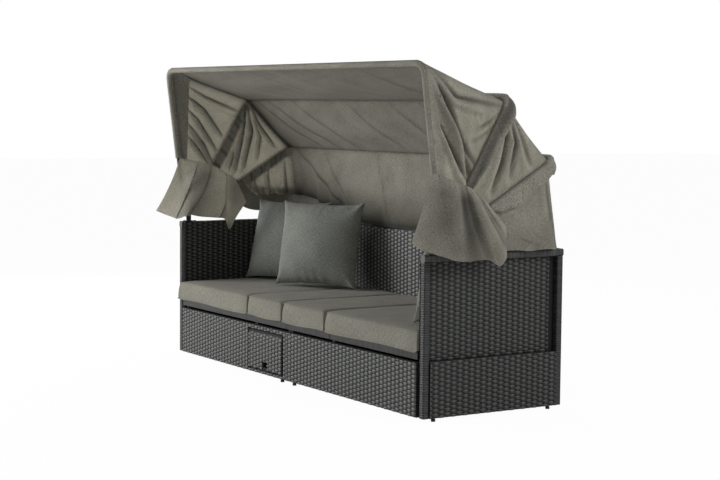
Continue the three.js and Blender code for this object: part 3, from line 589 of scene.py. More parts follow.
def seat_cushion(name, seed):
    """A cushion in the box of its solid."""
    low, high = (Vector(c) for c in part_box(name))
    size = high - low
    middle = (low + high) / 2
    wall = size.z - CROWN
    nothing_selected()
    bpy.ops.mesh.primitive_cube_add(size=2, location=(0, 0, 0))
    piece = bpy.context.object
    piece.name = f"{name}_cover"
    bpy.ops.object.mode_set(mode="EDIT")
    bpy.ops.mesh.select_all(action="SELECT")
    bpy.ops.mesh.subdivide(number_cuts=31)
    bpy.ops.object.mode_set(mode="OBJECT")
    layer = piece.data.uv_layers.active or piece.data.uv_layers.new(name="cloth")
    layer.name = "cloth"
    places = [v.co.copy() for v in piece.data.vertices]
    for polygon in piece.data.polygons:
        n = polygon.normal
        for loop in polygon.loop_indices:
            p = places[piece.data.loops[loop].vertex_index]
            x, y, z = p.x * size.x / 2, p.y * size.y / 2, p.z * wall / 2
            layer.data[loop].uv = (x, y) if abs(n.z) > 0.5 else ((x, z) if abs(n.y) > 0.5 else (y, z))
    for vertex, p in zip(piece.data.vertices, places):
        a, b, c = p
        a, b, c = math.sin(a * math.pi / 2), math.sin(b * math.pi / 2), math.sin(c * math.pi / 2)
        edge = max(abs(a), abs(b))
        out_x = abs(a) ** 14
        out_y = abs(b) ** 14
        wall_bulge = (1 - c * c) * WALL_BULGE
        seam = math.exp(-((abs(c) - 0.97) / 0.05) ** 2) * WELT
        seam -= math.exp(-((abs(c) - 0.83) / 0.06) ** 2) * GROOVE
        gather = abs(a * b) ** 7 * (0.25 + 0.75 * (c + 1) / 2)
        drawn_x = END_DRAW * (1 - abs(b) ** 4) - 0.3 * wall_bulge - 0.3 * seam + END_GATHER * gather
        drawn_y = FRONT_DRAW * (1 - abs(a) ** 4) - wall_bulge - seam + FRONT_GATHER * gather
        x = a * (size.x / 2 - COVER_INSET) - math.copysign(1, a) * out_x * drawn_x
        y = b * (size.y / 2 - COVER_INSET) - math.copysign(1, b) * out_y * drawn_y
        z = (c + 1) / 2 * wall
        if c > 0:
            z += CROWN * c ** 3 * (1 - abs(a) ** 30) * (1 - abs(b) ** 20) * (0.7 + 0.3 * (1 - a * a))
            z += CROWN_RIPPLE * ripple(x + seed, y, seed) * (1 - edge ** 8) * c
            z -= PUCKER * c * abs(math.sin(7 * math.atan2(1.02 - abs(a), 1.02 - abs(b)))) * gather
        elif b < -0.5:
            over_rim = max(0.0, (abs(b) - 0.99) / 0.01) * ((1 - c) / 2) ** 2
            z -= (DROOP + DROOP_WAVE * math.sin(3.1 * a + seed)) * over_rim * (1 - 0.7 * abs(a) ** 60)
        if name == "left_outer_cushion":
            ear = max(0.0, -a) ** 12 * max(0.0, -b) ** 10
            x -= END_EAR * ear
            y -= FRONT_EAR * ear
        vertex.co = (middle.x + x, middle.y + y, low.z + z)
    finish_piece(piece, cushion_cloth)
    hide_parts(name)
    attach(piece, "daybed")
    return piece


def finish_piece(piece, material):
    """Gives a padded piece its cover cloth, smooth faces and one subdivision."""
    piece.data.materials.clear()
    piece.data.materials.append(material)
    take_up(piece)
    modify(piece, "SUBSURF", levels=1, render_levels=1)
    piece.data.polygons.foreach_set("use_smooth", [True] * len(piece.data.polygons))


cushions = [seat_cushion(name, k * 1.3) for k, name in enumerate(
    ("left_outer_cushion", "left_inner_cushion", "right_inner_cushion", "right_outer_cushion"))]
print("cushions", [len(c.data.polygons) for c in cushions])

# %% [markdown]
# A loose pillow is two squares of cloth sewn round a fibre filling. The two squares are added as
# grids, swelled to a lens and joined at their rim. The filling then presses on the cloth in a short
# cloth simulation, which pulls the sides in and leaves the corners as ears. The wrinkles along the
# seams and the pinches at the corners are drawn in last.

# %% Pillow shape
PILLOW_WIDTH, PILLOW_HEIGHT, PILLOW_DEPTH = 0.470, 0.434, 0.200
SIDE_DRAW, EAR_DRAW = 0.014, 0.002
WRINKLE = 0.0045
SIM_FRAMES = 12


def pillow_half(sign):
    """One square of the pillow, swelled towards the front or the back."""
    nothing_selected()
    bpy.ops.mesh.primitive_grid_add(x_subdivisions=62, y_subdivisions=58, size=2, location=(0, 0, 0))
    half = bpy.context.object
    layer = half.data.uv_layers[0]
    layer.name = "cloth"
    for loop in layer.data:
        loop.uv = (loop.uv[0] * PILLOW_WIDTH + (2 if sign > 0 else 0), loop.uv[1] * PILLOW_HEIGHT)
    for vertex in half.data.vertices:
        s, t = vertex.co.x, vertex.co.y
        rim = max(0.0, (1 - s * s) * (1 - t * t))
        x = s * (PILLOW_WIDTH / 2 - SIDE_DRAW * (1 - t * t) ** 0.4 - EAR_DRAW * abs(t) ** 12)
        z = t * (PILLOW_HEIGHT / 2 - SIDE_DRAW * (1 - s * s) ** 0.4 - EAR_DRAW * abs(s) ** 12)
        vertex.co = (x, sign * PILLOW_DEPTH / 2 * rim ** 0.8, z)
    if sign < 0:
        half.data.flip_normals()
    half.data.flip_normals()
    return half


def plump(piece):
    """Presses the filling against the cloth for a few frames."""
    cloth = piece.modifiers.new("cloth", "CLOTH")
    settings = cloth.settings
    settings.quality = 5
    settings.mass = 0.3
    settings.use_pressure = True
    settings.uniform_pressure_force = 1.6
    settings.shrink_min = -0.010
    settings.tension_stiffness = 20
    settings.compression_stiffness = 20
    settings.shear_stiffness = 8
    settings.bending_stiffness = 4.0
    settings.effector_weights.gravity = 0
    scene = bpy.context.scene
    for count in range(1, SIM_FRAMES + 1):
        scene.frame_set(count)
    bpy.ops.object.modifier_apply(modifier=cloth.name)
    scene.frame_set(1)


take_up(pillow_half(1), pillow_half(-1))
bpy.ops.object.join()
pillow_model = bpy.context.object
pillow_model.name = "pillow_model"
bpy.ops.object.mode_set(mode="EDIT")
bpy.ops.mesh.select_all(action="SELECT")
bpy.ops.mesh.remove_doubles(threshold=0.0005)
bpy.ops.mesh.normals_make_consistent(inside=False)
bpy.ops.object.mode_set(mode="OBJECT")
before = [tuple(v.co) for v in pillow_model.data.vertices]
plump(pillow_model)
for vertex in pillow_model.data.vertices:
    s, t = vertex.co.x / (PILLOW_WIDTH / 2), vertex.co.z / (PILLOW_HEIGHT / 2)
    near = [math.exp(-max(0.0, 0.95 - abs(v)) / 0.14) for v in (t, s)]
    pinch = max(0.0, 1 - math.hypot(1 - abs(s), 1 - abs(t)) / 0.55)
    wave = near[0] * math.sin(24 * s + 2.0 * math.sin(5 * s))
    wave += near[1] * math.sin(22 * t + 1.7 * math.sin(6 * t) + 1)
    wave += 1.6 * pinch * math.sin(9 * math.atan2(1.05 - abs(s), 1.05 - abs(t)) + 2)
    vertex.co.y += math.copysign(WRINKLE, vertex.co.y) * wave * min(1, abs(vertex.co.y) / 0.02)
moved = max(math.dist(p, v.co) for p, v in zip(before, pillow_model.data.vertices))
print("pillow points", len(before), "moved up to", round(moved * 1000, 1), "mm, size",
      [round(v, 3) for v in pillow_model.dimensions])

# %% [markdown]
# Three pillows use the same shape, turned and mirrored so that no two show the same wrinkles. Each
# stands on its lower edge, turned about Z and leaning back, where the photograph has it.

# %% Pillows
def pillow(name, foot, turn_deg, lean_deg, mirror, over):
    """A copy of the pillow that stands on the middle of its lower edge."""
    piece = bpy.data.objects.new(f"{name}_cover", pillow_model.data.copy())
    bpy.context.collection.objects.link(piece)
    turn, lean = math.radians(turn_deg), math.radians(lean_deg)
    own = Matrix.Rotation(math.pi if over else 0, 4, "Y") @ Matrix.Diagonal((mirror, 1, 1, 1))
    piece.data.transform(own)
    if mirror < 0:
        piece.data.flip_normals()
    low = min(v.co.z for v in piece.data.vertices)
    for vertex in piece.data.vertices:
        share = max(0.0, -vertex.co.z / (PILLOW_HEIGHT / 2))
        vertex.co.y *= 1 + 0.10 * share
        vertex.co.z = max(vertex.co.z, low + 0.006 * (1 - abs(vertex.co.x) / PILLOW_WIDTH * 2))
    spin = Matrix.Translation(foot) @ Matrix.Rotation(turn, 4, "Z") @ Matrix.Rotation(-lean, 4, "X")
    piece.data.transform(spin @ Matrix.Translation((0, 0, -low)))
    finish_piece(piece, pillow_cloth)
    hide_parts(name)
    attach(piece, "daybed")
    return piece


seat_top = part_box("left_outer_cushion")[1][2]
back_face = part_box("left_back_panel")[0][1]
pillows = [
    pillow("left_rear_pillow", (-0.815, back_face - 0.238, seat_top - 0.0046), 25, 16.5, 1, True),
    pillow("left_front_pillow", (-0.431, back_face - 0.271, seat_top), 28.5, 11.3, 1, False),
    pillow("right_arm_pillow", (0.910, back_face - 0.375, seat_top - 0.0057), -90, 12, -1, False),
]
bpy.data.objects.remove(pillow_model)
print("pillows", [len(p.data.polygons) for p in pillows])

# %% [markdown]
# The canopy hangs on three bows that turn about one bolt at each arm. A bow is a leg, a rounded
# corner, the top bar, a corner and a leg, and its lean is the angle from upright. The cloth of each
# span runs from one bow to the next: up the left side, over the roof and down the right side.

# %% Bow lines
PIVOT_Y = 0.050 + shift_y
PIVOT_Z = 0.705
BOWS = {
    "front": {"half": 1.1414, "length": 0.734, "lean": math.radians(-7.3)},
    "middle": {"half": 1.1237, "length": 0.689, "lean": math.radians(30)},
    "rear": {"half": 1.1060, "length": 0.68914, "lean": math.radians(59.7)},
}
CORNER = 0.050
SIDE_STEPS, BEND_STEPS, ROOF_STEPS = 60, 10, 120
SEAM, REAR_SEAM = 0.290, 0.330
# On the right, the cloth of these bows starts a little further down the leg, behind the hanging corner.
LOWER_FOOT = {("middle", 1): 0.026, ("rear", 1): 0.026}


def stations():
    """The places round a bow: which part, how far along it, and at which side."""
    side = [("side", k / SIDE_STEPS) for k in range(SIDE_STEPS + 1)]
    bend = [("bend", k / BEND_STEPS) for k in range(1, BEND_STEPS)]
    listed = [(part, share, -1) for part, share in side + bend]
    listed += [("roof", k / ROOF_STEPS, 0) for k in range(ROOF_STEPS + 1)]
    listed += [(part, share, 1) for part, share in reversed(side + bend)]
    return listed


MARKS = stations()


def bow_line(word, start, stand_off, slide=0.0):
    """Points over a bow, stand_off outside its tube's axis and slid towards the back."""
    bow = BOWS[word]
    reach, top, radius = bow["half"] + stand_off, bow["length"] + stand_off, CORNER + stand_off
    back = np.array([0, math.cos(bow["lean"]), -math.sin(bow["lean"])])
    line = []
    for part, share, sign in MARKS:
        if part == "side":
            foot = start - LOWER_FOOT.get((word, sign), 0.0)
            x, along = sign * reach, foot + (top - radius - foot) * share
        elif part == "bend":
            angle = math.pi / 2 * share
            x = sign * (reach - radius + radius * math.cos(angle))
            along = top - radius + radius * math.sin(angle)
        else:
            x, along = (reach - radius) * (2 * share - 1), top
        line.append((x, PIVOT_Y + along * math.sin(bow["lean"]), PIVOT_Z + along * math.cos(bow["lean"])))
    return np.array(line) + back * slide


def hem_line():
    """Where the last span ends: on the arm at the right, short and scalloped at the left."""
    left, right, front, rear, radius = 1.084, 1.118, 0.385 + shift_y, back_face - 0.012, 0.046
    line = []
    for part, share, sign in MARKS:
        reach = left if sign < 0 else right
        if part == "roof":
            x = -(left - radius) + (left + right - 2 * radius) * share
            z = np.interp(x, [-1.0, -0.92, -0.79, -0.70, -0.55, -0.43, 1.0],
                          [0.797, 0.795, 0.768, 0.765, 0.752, 0.687, 0.684])
            loose = min(1.0, max(0.0, (-0.45 - x) / 0.1))
            line.append((x, rear - 0.010 * loose * (1 + math.sin(46 * x)), z + 0.002 * math.sin(26 * share)))
        elif part == "side" and sign < 0:
            fold = 0.011 * math.sin(20 * share + 0.6) + 0.005 * math.sin(47 * share)
            y = front + (rear - radius - front) * share
            z = 0.801 + 0.056 * math.exp(-share / 0.07) + 0.4 * fold * min(1, 5 * share)
            line.append((-reach - 0.6 * fold, y, z))
        elif part == "side":
            line.append((reach + 0.032 * share ** 2, front + (rear - radius - front) * share,
                         0.678 + 0.003 * math.sin(9 * share)))
        else:
            angle = math.pi / 2 * share
            flare = 0.0 if sign < 0 else 0.032 * (1 - share)
            high = 0.800 - 0.003 * share if sign < 0 else 0.680 + 0.003 * share
            line.append((sign * (reach + flare - radius + radius * math.cos(angle)),
                         rear - radius + radius * math.sin(angle), high))
    return np.array(line)


print("stations round a bow", len(MARKS))

# %% [markdown]
# Taut cloth between two bows does not lie flat. It sags a little in the roof, and at the sides it
# pulls into long creases that fan out from the corners of the bows. Each crease is a line in the
# side's own plane, read off the photograph, and the cloth rises on one side of it and dips on the other.

# %% Creases in a side
def fold_along(y, z, route, depth, width):
    """How far a fold along route moves the points y, z, outwards, and how much painted shade falls in its
    valley.
    """
    best = np.full(y.shape, 1e9)
    signed = np.zeros(y.shape)
    passed = np.zeros(y.shape)
    lengths = [math.dist(p, q) for p, q in zip(route, route[1:])]
    whole, before_it = sum(lengths), 0.0
    for (y0, z0), (y1, z1), span in zip(route, route[1:], lengths):
        dy, dz = (y1 - y0) / span, (z1 - z0) / span
        t = np.clip((y - y0) * dy + (z - z0) * dz, 0, span)
        away_y, away_z = y - y0 - t * dy, z - z0 - t * dz
        far = np.hypot(away_y, away_z)
        nearer = far < best
        best = np.where(nearer, far, best)
        signed = np.where(nearer, np.sign(away_y * dz - away_z * dy) * far, signed)
        passed = np.where(nearer, (before_it + t) / whole, passed)
        before_it += span
    taper = np.sin(np.pi * np.clip(passed * 0.9 + 0.06, 0, 1)) ** 0.5
    local = width * (0.55 + 0.75 * passed)
    s = signed / local
    valley = -np.exp(-(s / 0.45) ** 2)
    shoulder = 0.75 * np.exp(-((s - 1.25) / 0.8) ** 2)
    shadow = taper * np.exp(-((s + 0.15) / 0.5) ** 2) * min(1.0, depth / 0.012)
    return depth * taper * (valley + shoulder), shadow


CREASES = {
    ("front", 1): [
        ([(-0.300, 1.405), (-0.183, 1.300), (0.055, 1.262)], 0.014, 0.018),
        ([(-0.295, 1.37), (-0.202, 1.231), (-0.141, 1.091), (-0.085, 0.950)], 0.020, 0.020),
        ([(-0.270, 1.30), (-0.156, 1.131), (-0.071, 1.030)], 0.016, 0.016),
        ([(-0.265, 1.19), (-0.154, 1.011), (-0.095, 0.945)], 0.014, 0.015),
        ([(0.040, 1.245), (-0.010, 1.200), (-0.070, 1.175)], 0.008, 0.012),
        ([(0.020, 1.190), (-0.050, 1.140), (-0.100, 1.120)], 0.006, 0.011),
    ],
    ("front", -1): [
        ([(-0.300, 1.39), (-0.141, 1.300), (0.03, 1.23)], 0.009, 0.014),
        ([(-0.295, 1.35), (-0.153, 1.236), (-0.061, 1.105)], 0.013, 0.014),
        ([(-0.285, 1.29), (-0.187, 1.185), (-0.09, 1.03)], 0.011, 0.012),
        ([(-0.275, 1.22), (-0.158, 1.058), (-0.110, 0.950)], 0.014, 0.012),
        ([(-0.265, 1.14), (-0.190, 1.04), (-0.125, 0.950)], 0.012, 0.011),
    ],
    ("middle", 1): [
        ([(0.075, 1.27), (0.085, 1.131), (0.066, 1.029), (0.030, 0.92)], 0.018, 0.018),
        ([(0.09, 1.27), (0.140, 1.12), (0.120, 0.98)], 0.013, 0.017),
        ([(0.10, 1.27), (0.18, 1.12), (0.22, 1.03)], 0.010, 0.016),
    ],
    ("middle", -1): [
        ([(0.080, 1.285), (0.057, 1.135), (0.010, 0.925)], 0.017, 0.012),
        ([(0.085, 1.285), (0.110, 1.120), (0.060, 0.94)], 0.012, 0.012),
        ([(0.090, 1.280), (0.156, 1.161), (0.240, 1.050)], 0.013, 0.013),
        ([(0.12, 1.23), (0.16, 1.10), (0.14, 0.99)], 0.008, 0.012),
        ([(0.016, 1.040), (-0.004, 0.98), (-0.02, 0.93)], 0.010, 0.010),
    ],
    ("rear", 1): [
        ([(0.290, 0.99), (0.308, 0.80), (0.335, 0.70)], 0.014, 0.018),
        ([(0.14, 0.74), (0.20, 0.71), (0.27, 0.69)], 0.010, 0.010),
        ([(0.20, 0.77), (0.24, 0.73), (0.31, 0.70)], 0.008, 0.009),
    ],
    ("rear", -1): [
        ([(0.300, 0.98), (0.31, 0.84), (0.33, 0.70)], 0.010, 0.018),
        ([(0.20, 0.94), (0.20, 0.84), (0.21, 0.70)], 0.009, 0.015),
        ([(0.12, 0.89), (0.11, 0.80), (0.12, 0.70)], 0.008, 0.013),
    ],
}
print("creases", sum(len(v) for v in CREASES.values()))

# %% [markdown]
# A span is a grid between its two lines. The first one wraps over the front bow, and each later seam
# passes under its bow, which lies in a casing on the outside. The roof sags a little towards the
# pivot, the sides take their creases, and the cloth ripples where it is sewn. Each point also gets
# a share of painted shade: in the crease valleys, along the seams and the roof lines, at the roof's
# edges, in stripes beside the bows on the left, on the right rear side, and over the whole roof,
# most towards the rear hem. The left side, seen from inside against the light, has narrower and
# darker creases than the right one.

# %% Canopy spans
SPAN_STEPS = 44
SLOW_RIPPLE, FINE_RIPPLE, SEAM_RIPPLE = 0.0030, 0.0016, 0.0012
ROOF_SHADE, REAR_ROOF_SHADE, HEM_SHADE, SEAM_SHADE = 0.32, 0.20, 0.8, 0.35
EDGE_SHADES = {"front": 0.75, "middle": 0.95, "rear": 0.15}
EDGE_WIDTHS = {"front": 1.4, "middle": 3.0, "rear": 1.4}
LEFT_EDGE, RIGHT_EDGE, RIGHT_EDGE_SHADE = 67.5, len(MARKS) - 69, 0.25
STRENGTHS = {("front", 1): 1.7, ("middle", 1): 1.7, ("rear", 1): 0.5,
             ("front", -1): 2.3, ("middle", -1): 2.3, ("rear", -1): 2.3}
WIDTH_SHARE = {1: 1.2, -1: 0.85}
SHADE_SHARE = {1: 0.55, -1: 0.95}
REAR_GUSSET_SHADE = 0.20
GATHERED_BAND = 0.042
FREE_FROM, STIFF_EDGE, DRAWN_IN = 0.045, 0.26, 0.003
# Each line in a roof is where it crosses the middle of the span, how it slants, and how deep it is.
ROOF_LINES = {
    "front": [(0.62, 0.20, 0.003), (-0.30, 0.25, 0.002)],
    "middle": [(-0.86, 0.30, 0.006), (-0.72, 0.35, 0.005), (-0.50, 0.30, 0.004), (-0.05, 0.22, 0.003),
               (0.32, 0.22, 0.003), (0.60, 0.30, 0.005)],
    "rear": [(-0.785, 0.47, 0.006), (-0.62, 0.25, 0.003), (0.35, 0.05, 0.003), (-0.20, 0.08, 0.002)],
}


def span_grid(word, first, last, sag):
    """Rows from the front line to the rear one, columns round the bow, and each point's share of painted
    shade.
    """
    rows, darks = [], []
    place = np.arange(len(MARKS))
    signs = np.array([m[2] if m[0] != "roof" else 0 for m in MARKS])
    roof = np.array([1.0 if m[0] == "roof" else (m[1] if m[0] == "bend" else 0.0) for m in MARKS])
    rise = np.array([m[1] if m[0] == "side" else 1.0 for m in MARKS])
    for row in range(SPAN_STEPS + 1):
        v = row / SPAN_STEPS
        line = first * (1 - v) + last * v
        swell = math.sin(math.pi * v)
        inward = np.stack([np.zeros(len(line)), PIVOT_Y - line[:, 1], PIVOT_Z - line[:, 2]], axis=1)
        inward /= np.linalg.norm(inward, axis=1)[:, None]
        x = line[:, 0]
        drape = sag * swell * (0.85 + 0.15 * np.cos(2.1 * x + 0.4))
        drape += SLOW_RIPPLE * swell * np.sin(9 * x + 5 * v + len(word))
        drape += FINE_RIPPLE * swell * np.sin(23 * x - 9 * v)
        from_seam = min(v, 1 - v)
        drape += SEAM_RIPPLE * math.exp(-from_seam / 0.06) * np.sin(88 * x + 6 * v) * min(1, 20 * from_seam)
        lined = np.zeros(len(line))
        for at_x, slope, depth in ROOF_LINES[word]:
            ridge = swell ** 0.5 * np.exp(-((x - at_x - slope * (v - 0.5)) / 0.012) ** 2)
            drape += depth * ridge
            lined += roof * min(0.6, 80 * depth) * ridge
        line = line + inward * (drape * roof)[:, None]
        # Painted shade over the roof, along the seams and the roof's edges, and along the roof lines.
        dark = roof * (ROOF_SHADE if word != "rear" else REAR_ROOF_SHADE + HEM_SHADE * v ** 3)
        dark += roof * SEAM_SHADE * math.exp(-from_seam / 0.02)
        dark += EDGE_SHADES[word] * np.exp(-((place - LEFT_EDGE) / EDGE_WIDTHS[word]) ** 2)
        dark += RIGHT_EDGE_SHADE * np.exp(-((place - RIGHT_EDGE) / 1.4) ** 2)
        dark += lined
        for sign in (-1, 1):
            at = signs == sign
            dark[at] += REAR_GUSSET_SHADE * (sign > 0 and word == "rear")
            push = np.zeros(at.sum())
            for route, depth, width in CREASES[(word, sign)]:
                moved, shade = fold_along(line[at, 1], line[at, 2], route, depth, WIDTH_SHARE[sign] * width)
                push += STRENGTHS[(word, sign)] * moved
                dark[at] = np.maximum(dark[at], shade * SHADE_SHARE[sign])
            if word != "front":
                from_bow = np.linalg.norm(line[at] - first[at], axis=1)
                push = np.minimum(push, 0.002 + 0.5 * np.maximum(0.0, from_bow - FREE_FROM))
                # On the left, a band beside the bow gets painted shade, in stripes where gathers would lie.
                gather_stripe_shade = np.maximum(0.0, np.sin(41 * rise[at] + 4 * v) * np.sin(15 * rise[at] + 1.2)) ** 0.7
                in_band = (sign < 0) * (from_bow < GATHERED_BAND)
                dark[at] = np.maximum(dark[at], (0.22 + 0.5 * gather_stripe_shade) * in_band)
            stiff = STIFF_EDGE if word == "front" and sign < 0 else 0.0
            held = min(1.0, 10 * max(0.0, min(v - stiff, 1 - v)))
            line[at, 0] += sign * (push - DRAWN_IN) * held * (0.4 + 0.6 * np.clip((1 - rise[at]) * 6, 0, 1))
        rows.append(line)
        darks.append(dark)
    return np.array(rows), np.array(darks)


OVER, UNDER, SEW = 0.0125, -0.0125, 0.0006
lines = {
    "front": bow_line("front", SEAM, OVER), "front_rear": bow_line("middle", SEAM, UNDER, -SEW),
    "middle": bow_line("middle", SEAM, UNDER, SEW), "middle_rear": bow_line("rear", REAR_SEAM, UNDER, -SEW),
    "rear": bow_line("rear", REAR_SEAM, UNDER, SEW), "rear_rear": hem_line(),
}
CLOTH = 0.0014


def hang_between(piece, nearer, farther, grid):
    """Bakes the cloth's placement into its points; the two bodies and the grid are not used."""
    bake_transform(piece)


spans = {}
for word, sag, bodies, replaced in (
        ("front", 0.012, ("middle_bow", "front_bow"), "front_canopy_panel"),
        ("middle", 0.012, ("rear_bow", "middle_bow"), "middle_canopy_panel"),
        ("rear", 0.006, ("daybed", "rear_bow"), "rear_canopy_panel")):
    grid, darks = span_grid(word, lines[word], lines[word + "_rear"], sag)
    piece = sheet_piece(f"{word}_canopy_cloth", grid, CLOTH, canopy_cloth, creases=darks)
    hang_between(piece, *bodies, grid)
    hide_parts(replaced)
    spans[word] = (piece, grid)
    print(word, "span", round(grid_area(grid), 3), "square metres")

# %% [markdown]
# Each bow lies in a casing, a long tunnel of doubled cloth sewn on the outside of the seam. Down the
# legs the tunnel is far wider than the tube, up to 60 mm, so it lies flat towards the back, and its
# double cloth lets no light through. Over the roof it hugs the tube. The front one is a narrow hem.

# %% Casings of the bows
PLACE_SHARES = [0, 0.1, 0.4, 0.75, 1]
LEFT_SHARES = [0.6, 0.62, 0.62, 0.62, 0.62]
WIDTH_SHARES = {
    ("front", -1): [1, 1, 1, 1, 1],
    ("front", 1): [1, 1, 1, 1, 1],
    ("middle", 1): [0.22, 0.42, 0.68, 0.90, 1.00],
    ("rear", 1): [0.20, 0.70, 1.10, 1.00, 0.85],
}
TUBE_EDGE = 0.010
TUNNEL_STEPS = 5
TUNNEL_GAP = 0.0045
MEAN_RUCK, SLOW_RUCK, FINE_RUCK, TWIST = 0.0025, 0.0045, 0.0012, 0.0025


def casing(word, start, material, top, foot, roof, height):
    """A flattened tunnel round a bow, from one leg's start over to the other's.

    top, foot and roof say how far its fin stands out there, and height how thick it is on the roof.
    Each place round the bow gets a ring: over the tube, down the upper layer to the fin's edge, back
    along the lower layer and under the tube. s runs towards the back, o away from the canopy.
    """
    bow = BOWS[word]
    lean = bow["lean"]
    back = np.array([0, math.cos(lean), -math.sin(lean)])
    centre = bow_line(word, start, 0.0)
    upper = [(-OVER, 0.0), (-TUBE_EDGE, 0.75), (0.0, 1.0), (TUBE_EDGE, 0.82)]
    lower = [(TUBE_EDGE, -0.82), (0.0, -1.0), (-TUBE_EDGE, -0.75)]
    rows = []
    for k, point in enumerate(centre):
        part, share, sign = MARKS[k]
        ahead = centre[min(k + 1, len(centre) - 1)] - centre[max(k - 1, 0)]
        ahead /= np.linalg.norm(ahead)
        out = np.cross(back, ahead) * (1 if word == "front" else -1)
        climb = share if part == "side" else 1.0
        over_roof = 0.35 * math.exp(-min(share, 1 - share) / 0.03)
        side = {"side": 1.0, "bend": 1 - 0.65 * share, "roof": over_roof}[part]
        flat = roof + side * (foot + (top - foot) * climb - roof)
        if part == "side":
            flat *= np.interp(share, PLACE_SHARES, WIDTH_SHARES.get((word, sign), LEFT_SHARES))
        lump = 1 + 0.10 * math.sin(k * 0.8) + 0.08 * math.sin(k * 0.31 + 1)
        flat *= 1 + side * 0.06 * math.sin(k * 0.21 + 2 * sign)
        ruck = MEAN_RUCK + SLOW_RUCK * math.sin(k * 0.13 + sign) + FINE_RUCK * math.sin(k * 0.47 + 1.3)
        ruck *= side * (sign > 0)
        sunk = 0.5 * max(0.0, ruck) + min(0.0, ruck)
        ring = [(s, (OVER + height * (1 - side)) * o) for s, o in upper]
        for j in range(1, TUNNEL_STEPS + 1):
            t = j / TUNNEL_STEPS
            s = TUBE_EDGE + (flat - TUBE_EDGE) * t
            twist = ruck * math.sin(math.pi * t) + side * (sign > 0) * TWIST * math.sin(5 * t - k * 0.11) * t
            ring.append((s, (OVER * 0.82) * (1 - t) ** 0.7 * lump + TUNNEL_GAP + twist))
        for j in range(TUNNEL_STEPS, 0, -1):
            t = j / TUNNEL_STEPS
            s = TUBE_EDGE + (flat - TUBE_EDGE) * t
            ring.append((s - 0.001, -0.0085 * (1 - t) - 0.0005 * t + sunk * math.sin(math.pi * t)))
        ring += [(s, TUBE_EDGE * o) for s, o in lower]
        rows.append([point + back * s + out * o for s, o in ring])
    return tunnel_piece(word, np.array(rows), centre, material)


TUNNEL_CLOTH = 0.0010


def tunnel_piece(word, grid, centre, material):
    count, sides = grid.shape[:2]
    index = np.arange(count * sides).reshape(count, sides)
    nearby = np.roll(index, -1, axis=1)
    faces = np.stack([index[:-1], nearby[:-1], nearby[1:], index[1:]], axis=-1).reshape(-1, 4)
    mesh = bpy.data.meshes.new(f"{word}_casing")
    mesh.from_pydata(grid.reshape(-1, 3).tolist(), [], faces.tolist())
    layer = mesh.uv_layers.new(name="cloth")
    far, girth = walked(centre), walked(grid[count // 8])
    for loop in mesh.loops:
        row, side = divmod(loop.vertex_index, sides)
        layer.data[loop.index].uv = (far[row], girth[side])
    # Painted shade on the casing: along its front edge down the legs, across the right middle fin, and on
    # its lower layers over the roof.
    shade = np.zeros((count, sides))
    shade[:, (0, 1, 2)] = 0.5 * np.array([[word != "front" and mark[0] == "side"] for mark in MARKS])
    across_fin = np.array([0.8, 0.8, 0.8, 0.65, 0.45, 0.2, 0.0])
    shade[:, 2:9] = across_fin * np.array([[word == "middle" and mark[2] > 0] for mark in MARKS])
    shade[:, 9:] = 0.3 * np.array([[word != "front" and mark[0] == "roof"] for mark in MARKS])
    mesh.attributes.new("painted_shade_share", "FLOAT", "POINT").data.foreach_set("value", shade.ravel())
    mesh.materials.append(material)
    piece = bpy.data.objects.new(f"{word}_casing", mesh)
    bpy.context.collection.objects.link(piece)
    take_up(piece)
    bpy.ops.object.mode_set(mode="EDIT")
    bpy.ops.mesh.select_all(action="SELECT")
    bpy.ops.mesh.normals_make_consistent(inside=False)
    bpy.ops.object.mode_set(mode="OBJECT")
    modify(piece, "SOLIDIFY", thickness=TUNNEL_CLOTH, offset=1)
    bpy.ops.object.shade_smooth_by_angle(angle=SHARP)
    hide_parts(f"{word}_sleeve")
    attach(piece, f"{word}_bow")
    return piece


casings = [
    casing("front", SEAM, canopy_cloth, top=0.014, foot=0.014, roof=0.013, height=0.0),
    casing("middle", SEAM, sleeve_cloth, top=0.056, foot=0.078, roof=0.016, height=0.010),
    casing("rear", REAR_SEAM, sleeve_cloth, top=0.056, foot=0.072, roof=0.016, height=0.008),
]
print("casings", [len(c.data.polygons) for c in casings])

# %% [markdown]
# Round the front bow the cloth is folded back inside as a facing, deep at the sides, which gives the
# opening its clean, opaque edge. It follows the span a few millimetres inside it.

# %% Front facing
def inside_of(grid, distance):
    """The grid moved towards the inside of the canopy by a distance."""
    down = np.gradient(grid, axis=0)
    over = np.gradient(grid, axis=1)
    normal = np.cross(down, over)
    normal /= np.linalg.norm(normal, axis=2)[:, :, None]
    centre = np.array([0, PIVOT_Y + 0.15, PIVOT_Z + 0.2])
    outward = np.sign(((grid - centre) * normal).sum(axis=2))[:, :, None]
    return grid - normal * outward * distance


FACING_STEPS = 12
FACING_GAP, FACING_CLOTH = 0.0035, 0.0012
DEEP_ROWS, SHALLOW_ROWS, ROWS_LOST, CORNER_AT = 12.0, 1.2, 3.6, 67
front_grid = spans["front"][1]
from_corner = np.minimum(np.arange(len(MARKS)), np.arange(len(MARKS))[::-1]) - CORNER_AT
depths = np.clip(DEEP_ROWS - ROWS_LOST * from_corner, SHALLOW_ROWS, DEEP_ROWS)
facing_rows = np.empty((FACING_STEPS + 1, len(MARKS), 3))
for column, depth in enumerate(depths):
    for row in range(FACING_STEPS + 1):
        at_row = depth * row / FACING_STEPS
        below = min(int(at_row), len(front_grid) - 2)
        part_way = at_row - below
        between = front_grid[below, column] * (1 - part_way) + front_grid[below + 1, column] * part_way
        facing_rows[row, column] = between
facing_grid = inside_of(facing_rows, FACING_GAP)
facing = sheet_piece("front_facing", facing_grid, FACING_CLOTH, sleeve_cloth)
hang_between(facing, "middle_bow", "front_bow", front_grid)
print("facing", round(grid_area(facing_grid), 3), "square metres")

